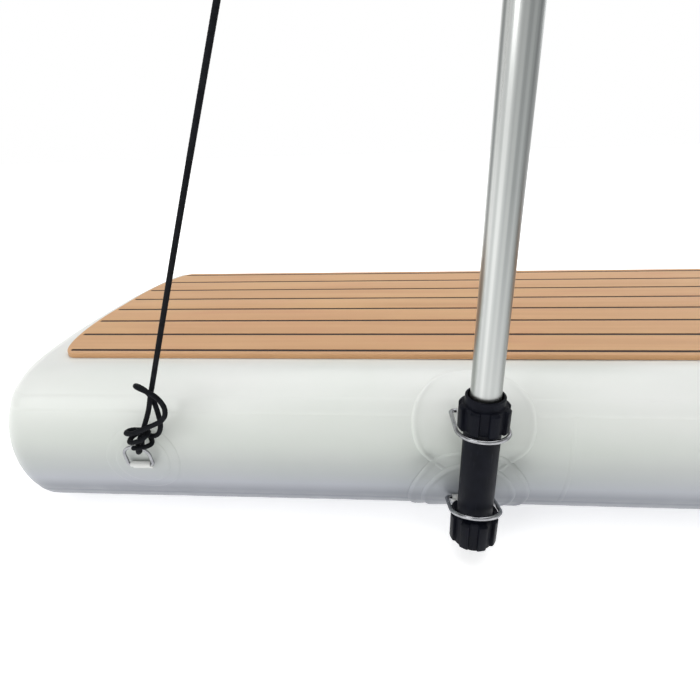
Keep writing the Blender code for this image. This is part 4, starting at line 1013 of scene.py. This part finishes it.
def pad_rows():
    """Places across the pad where its mesh has a row: at grooves, edges and corners."""
    rows = set(SEAM_PLACES)
    for step in EDGE_STEPS:
        for seam in SEAM_PLACES:
            rows |= {seam - GROOVE / 2 - step, seam + GROOVE / 2 + step}
        rows |= {PAD_HALF_WIDTH - step, step - PAD_HALF_WIDTH}
    for t in np.linspace(0.0, math.pi / 2, 28)[1:-1]:
        place = PAD_HALF_WIDTH - PAD_CORNER_ACROSS * (1 - math.sin(t))
        if min(abs(place - row) for row in rows) > EDGE_STEPS[-1]:
            rows |= {place, -place}
    return np.array(sorted(rows))


def plank_columns():
    """Places along a row of planks: fine at its edge and at the grooves' ends."""
    rim = [(-1.0, step) for step in EDGE_STEPS]
    rim += [(-1.0, GROOVE_END - step) for step in EDGE_STEPS]
    rim += [(-1.0, GROOVE_END + step) for step in (0.0005, 0.0012, 0.01)]
    columns = set(rim) | {(-share, -offset) for share, offset in rim}
    columns |= {(share, 0.0) for share in np.linspace(-0.97, 0.97, 60)}
    return sorted(columns, key=lambda place: place[0] * PAD_HALF_LENGTH + place[1])


def build_planks(rows_y, material):
    """The plank layer, and a thin skirt below it that closes the pad's edge."""
    top = slab(rows_y, plank_columns(), PLANK_TOP, PLANK_Z - LAYER_LAP, grooved=True)
    inside = PAD_BASE_INSET * 0.8
    skirt = [[(x, y, z) for x, y in pad_outline(inset)]
             for inset, z in ((0.0, PAD_BASE_Z), (0.0, PLANK_Z), (inside, PLANK_Z),
                              (inside, PAD_BASE_Z))]
    solid = joined(drilled(top, PAD_HOLE, material), loft(skirt, looped=True))
    return add_mesh("deck_planks", solid, material, crease=35)


def build_base(rows_y, material):
    """The dark base layer, with a rib up into each groove."""
    half_width = PAD_HALF_WIDTH - PAD_BASE_INSET
    rows_y = np.array([-half_width, *rows_y[np.abs(rows_y) < half_width], half_width])
    columns = [(share, 0.0) for share in np.linspace(-1.0, 1.0, 60)]
    layer = slab(rows_y, columns, PLANK_Z - LAYER_LAP, PAD_BASE_Z, inset=PAD_BASE_INSET)
    half = GROOVE / 2 + RIB_LAP
    ribs = []
    for seam in SEAM_PLACES:
        reach = float(pad_reach(np.array([seam]), 0.0)[0]) - GROOVE_END + RIB_LAP
        ribs.append(prism([(-reach, seam - half), (reach, seam - half), (reach, seam + half),
                           (-reach, seam + half)], PLANK_Z - 3 * LAYER_LAP, RIB_TOP))
    solid = joined(*(drilled(part, PAD_HOLE, material) for part in (layer, joined(*ribs))))
    return add_mesh("deck_base", solid, material, crease=35)


def build_pad(materials):
    rows_y = pad_rows()
    for obj, node in ((build_planks(rows_y, materials["teak_foam"]), "deck_pad_planks"),
                      (build_base(rows_y, materials["dark_foam"]), "deck_pad_base")):
        dress(obj, node)


# Sockets, stanchions and the valve

# Round a lobe: (share of its pitch, share of its rise)
LOBE_SHAPE = ((0.0, 0.0), (0.02, 0.06), (0.035, 0.5), (0.05, 0.94), (0.075, 1.0), (0.18, 1.0),
              (0.29, 1.0), (0.40, 1.0), (0.505, 1.0), (0.53, 0.94), (0.545, 0.5), (0.56, 0.06),
              (0.58, 0.0), (0.68, 0.0), (0.79, 0.0), (0.9, 0.0))
LOBE_ROUNDING = 0.0009
MOULDED_ROUNDING = 0.0004

# Socket: outsides are (lobe radius, groove radius, height), the rest (radius, height)
LOBE = 0.0275
GRIP = 0.0235
THREAD = 0.0203
BORE = 0.0164
COLLAR = 0.0187
MOUTH = 0.021
NUT_LOW = 0.1781
NUT_TOP = 0.217
CAP_LOW = 0.0215
CAP_TOP = 0.0644
NUT_OUTSIDE = ((THREAD, THREAD, NUT_LOW), (LOBE - 0.0022, GRIP - 0.001, NUT_LOW),
               (LOBE, GRIP, NUT_LOW + 0.0025), (LOBE, GRIP, 0.2047),
               (LOBE - 0.0026, GRIP, 0.2069), (MOUTH, MOUTH, 0.2071), (MOUTH, MOUTH, NUT_TOP),
               (COLLAR, COLLAR, NUT_TOP))
NUT_INSIDE = ((COLLAR, 0.2023), (THREAD, 0.2023))
CAP_OUTSIDE = ((0.002, 0.002, CAP_LOW + 0.0012), (0.011, 0.011, CAP_LOW + 0.0012),
               (0.013, 0.013, CAP_LOW), (COLLAR, COLLAR, CAP_LOW),
               (GRIP, GRIP, CAP_LOW + 0.0052), (LOBE - 0.0003, GRIP, CAP_LOW + 0.0074),
               (LOBE, GRIP, CAP_TOP - 0.0025), (LOBE - 0.0022, GRIP - 0.001, CAP_TOP),
               (THREAD, THREAD, CAP_TOP))
CAP_INSIDE = ((THREAD, 0.0265), (0.002, 0.0265))
SOCKET_TUBE = ((BORE, 0.0268), (0.02, 0.0268), (0.02, 0.202), (BORE, 0.202))

# Stanchion and its eye
POST_TUBE = ((0.0145, 0.0301), (0.016, 0.0301), (0.016, 1.1317), (0.0145, 1.1317))
POST_HEAD = ((0.0029, 1.132), (0.0163, 1.132), (0.0163, 1.114), (0.0185, 1.114),
             (0.0185, 1.1345), (0.015, 1.138), (0.0029, 1.138))
HEAD_ROUNDING = 0.0018
EYE_Z = 1.15
EYE_RADIUS = 0.01
EYE_WIRE = 0.002
EYE_SHANK = ((0.0026, -0.0225), (0.0026, -0.0095))

# Valve, with heights from the deck
VALVE_PLACE = Vector((1.05, 0.03, 0.2))
VALVE_HOLE = 0.0193
VALVE_BODY = ((0.0125, -0.04), (0.019, -0.04), (0.019, 0.0014), (0.03, 0.0014), (0.03, 0.0036),
              (0.0285, 0.0044), (0.0145, 0.0044), (0.0145, -0.018), (0.0095, -0.018),
              (0.0095, -0.02), (0.0145, -0.02), (0.0145, -0.038), (0.0125, -0.038))
SPIDER_LOW = -0.038
SPIDER_HIGH = -0.0358
SPIDER_HUB = ((0.0025, SPIDER_LOW), (0.0045, SPIDER_LOW), (0.0045, SPIDER_HIGH),
              (0.0025, SPIDER_HIGH))
SPIDER_ARM = ((0.004, -0.002), (0.0168, -0.002), (0.0168, 0.002), (0.004, 0.002))
SPIDER_ARMS = 3
VALVE_CAP_OUTSIDE = ((0.0142, 0.0142, 0.0047), (0.022, 0.0204, 0.0047), (0.022, 0.0204, 0.0074),
                     (0.0205, 0.0192, 0.0083), (0.013, 0.013, 0.0083), (0.012, 0.012, 0.0077),
                     (0.001, 0.001, 0.0077))
VALVE_CAP_INSIDE = ((0.001, 0.0065), (0.0117, 0.0065), (0.0117, -0.006), (0.0142, -0.006))
VALVE_CAP_ROUNDING = 0.0007
CAP_BAR = ((-0.0115, -0.0016), (0.0115, -0.0016), (0.0115, 0.0016), (-0.0115, 0.0016))
CAP_BAR_LOW = 0.0072
CAP_BAR_HIGH = 0.0083
SPRING_RADIUS = 0.0065
SPRING_WIRE = 0.00045
SPRING_TURNS = 4
SPRING_LOW = -0.03499
SPRING_HIGH = -0.02358


def lobe_rows(levels, lobes=8):
    """Rings for (lobe radius, groove radius, height) levels."""
    rows = []
    for lobe, groove, z in levels:
        row = []
        for k in range(lobes):
            for place, share in LOBE_SHAPE:
                t = 2 * math.pi * (k + place) / lobes
                radius = groove + (lobe - groove) * share
                row.append((radius * math.cos(t), radius * math.sin(t), z))
        rows.append(row)
    return rows


def round_rows(profile):
    return lobe_rows([(radius, radius, z) for radius, z in profile])


def build_sockets(material):
    nut = loft(lobe_rows(rounded(NUT_OUTSIDE, LOBE_ROUNDING)) + round_rows(NUT_INSIDE),
               looped=True)
    cap = loft(lobe_rows(rounded(CAP_OUTSIDE, LOBE_ROUNDING)) + round_rows(CAP_INSIDE))
    tube = tube_of(SOCKET_TUBE, MOULDED_ROUNDING)
    for end, x_sign in ENDS:
        place = at((x_sign * POST_X, POST_Y, 0.0))
        for name, solid in (("socket_nut", nut), ("socket_cap", cap), ("socket_tube", tube)):
            piece(f"{name}_{end}", "moulding", moved(solid, place), material, crease=30)


def eye_ring(radius, wire, steps=40, sides=16):
    rows = [[(wire * math.sin(u), (radius + wire * math.cos(u)) * math.cos(t),
              (radius + wire * math.cos(u)) * math.sin(t)) for u in circle(sides)]
            for t in circle(steps)]
    return loft(rows, looped=True)


def build_stanchions(materials):
    eye = joined(eye_ring(EYE_RADIUS, EYE_WIRE), turned(EYE_SHANK, steps=24))
    tube = tube_of(POST_TUBE, MOULDED_ROUNDING, steps=96)
    head = tube_of(POST_HEAD, HEAD_ROUNDING)
    for end, x_sign in ENDS:
        for name, solid, height, look in (
                ("stanchion_tube", tube, 0.0, "aluminium"),
                ("stanchion_head", head, 0.0, "black_plastic"),
                ("rope_eye", eye, EYE_Z, "stainless_steel")):
            place = at((x_sign * POST_X, POST_Y, height))
            piece(f"{name}_{end}", "fine", moved(solid, place), materials[look])


def coil(low, high, steps=24, sides=10):
    """The spring's wire, round and round from the low height to the high one."""
    count = SPRING_TURNS * steps
    turn = np.arange(count + 1) * math.tau / steps
    points = np.stack([SPRING_RADIUS * np.cos(turn), SPRING_RADIUS * np.sin(turn),
                       np.linspace(low, high, count + 1)], axis=-1)
    rows = []
    for point, side, other in zip(points, *side_vectors(points)):
        rows.append([tuple(point + SPRING_WIRE * (math.cos(u) * side + math.sin(u) * other))
                     for u in circle(sides)])
    return loft(rows)


def build_valve(materials):
    plastic, here = materials["grey_plastic"], at(VALVE_PLACE)
    arm = prism(SPIDER_ARM, SPIDER_LOW, SPIDER_HIGH)
    arms = [moved(arm, Matrix.Rotation(turn, 4, "Z")) for turn in circle(SPIDER_ARMS)]
    body = joined(tube_of(VALVE_BODY, MOULDED_ROUNDING), turned(SPIDER_HUB, hollow=True), *arms)
    piece("valve_body", "fine", moved(body, here), plastic)

    outside = lobe_rows(rounded(VALVE_CAP_OUTSIDE, VALVE_CAP_ROUNDING))
    cap = joined(loft(round_rows(VALVE_CAP_INSIDE) + outside),
                 prism(CAP_BAR, CAP_BAR_LOW, CAP_BAR_HIGH))
    piece("valve_cap", "fine", moved(cap, here), plastic, crease=30)

    spring = piece("valve_spring", "fine", moved(coil(SPRING_LOW, SPRING_HIGH), here),
                   materials["stainless_steel"])
    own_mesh(spring)


# Surroundings

# Studio sky: (sine of the height, grey), bright at the horizon and overhead
SKY = ((0.0, 1.0), (0.26, 1.0), (0.42, 0.30), (0.78, 0.30), (0.9, 1.0))
# The floor glows a little, more so far off, like a lit white cove
FLOOR_GLOW_NEAR = 0.6
FLOOR_GLOW_FAR = 0.7
FLOOR_GLOW_FROM = 0.8
FLOOR_GLOW_TO = 2.5
FLOOR_REACH = 40.0
# Name, place, aim, size in metres, power in watts
LAMPS = (("overhead", (-0.4, 0.3, 2.6), (-0.5, 0.0, 0.1), 2.4, 26.0),
         ("front_left", (-2.6, -2.2, 1.7), (-0.7, -0.3, 0.2), 1.4, 18.0),
         ("back_right", (2.4, 2.4, 1.9), (0.0, 0.0, 0.2), 1.6, 12.0))


def build_sky():
    world = bpy.data.worlds.new("studio")
    bpy.context.scene.world = world
    world.use_nodes = True
    tree = world.node_tree
    place = tree.nodes.new("ShaderNodeTexCoord").outputs["Generated"]
    split = tree.nodes.new("ShaderNodeSeparateXYZ")
    tree.links.new(place, split.inputs[0])
    ramp = tree.nodes.new("ShaderNodeValToRGB")
    tree.links.new(split.outputs["Z"], ramp.inputs["Fac"])
    set_ramp(ramp, [(height, (grey, grey, grey)) for height, grey in SKY])
    tree.links.new(ramp.outputs["Color"], tree.nodes["Background"].inputs["Color"])


def build_lamps():
    for name, place, aim, size, power in LAMPS:
        lamp = bpy.data.lights.new(name, "AREA")
        lamp.size = size
        lamp.energy = power
        obj = bpy.data.objects.new(name, lamp)
        obj.location = place
        obj.rotation_euler = (Vector(aim) - Vector(place)).to_track_quat("-Z", "Y").to_euler()
        bpy.context.scene.collection.objects.link(obj)


def build_stage():
    corners = [(x * FLOOR_REACH, y * FLOOR_REACH, 0.0) for x, y in QUARTERS]
    add_mesh("floor", (corners, [(0, 1, 2, 3)]), floor_paint())
    build_sky()
    build_lamps()


def floor_paint():
    recipe = Recipe("floor")
    cloud = recipe.noise(1.5, detail=3.0)
    colour = recipe.colours(cloud, (0.3, (0.90, 0.90, 0.90)), (0.7, (0.92, 0.92, 0.92)))
    reach = recipe.add("ShaderNodeVectorMath", links={0: recipe.place}, operation="LENGTH")
    glow = recipe.between(reach.outputs["Value"], FLOOR_GLOW_NEAR, FLOOR_GLOW_FAR,
                          start=FLOOR_GLOW_FROM, end=FLOOR_GLOW_TO)
    recipe.shader.inputs["Emission Color"].default_value = (1.0, 1.0, 1.0, 1.0)
    recipe.tree.links.new(glow, recipe.shader.inputs["Emission Strength"])
    return recipe.done(colour, recipe.between(cloud, 0.8, 0.9))


def main():
    bpy.context.scene.view_settings.view_transform = "Standard"
    build_camera()
    materials = build_materials()
    build_rope(materials["black_rope"])
    white, columns = materials["white_pvc"], wall_columns()
    build_hull(white, columns)
    build_tapes(white, columns)
    build_patches(white)
    build_rings(materials)
    build_pad(materials)
    build_sockets(materials["black_plastic"])
    build_stanchions(materials)
    build_valve(materials)
    for name, node in frame["nodes"].items():
        node.data.materials.clear()
        node.data.materials.append(materials[SLOT_OF[name]])
    build_stage()


main()
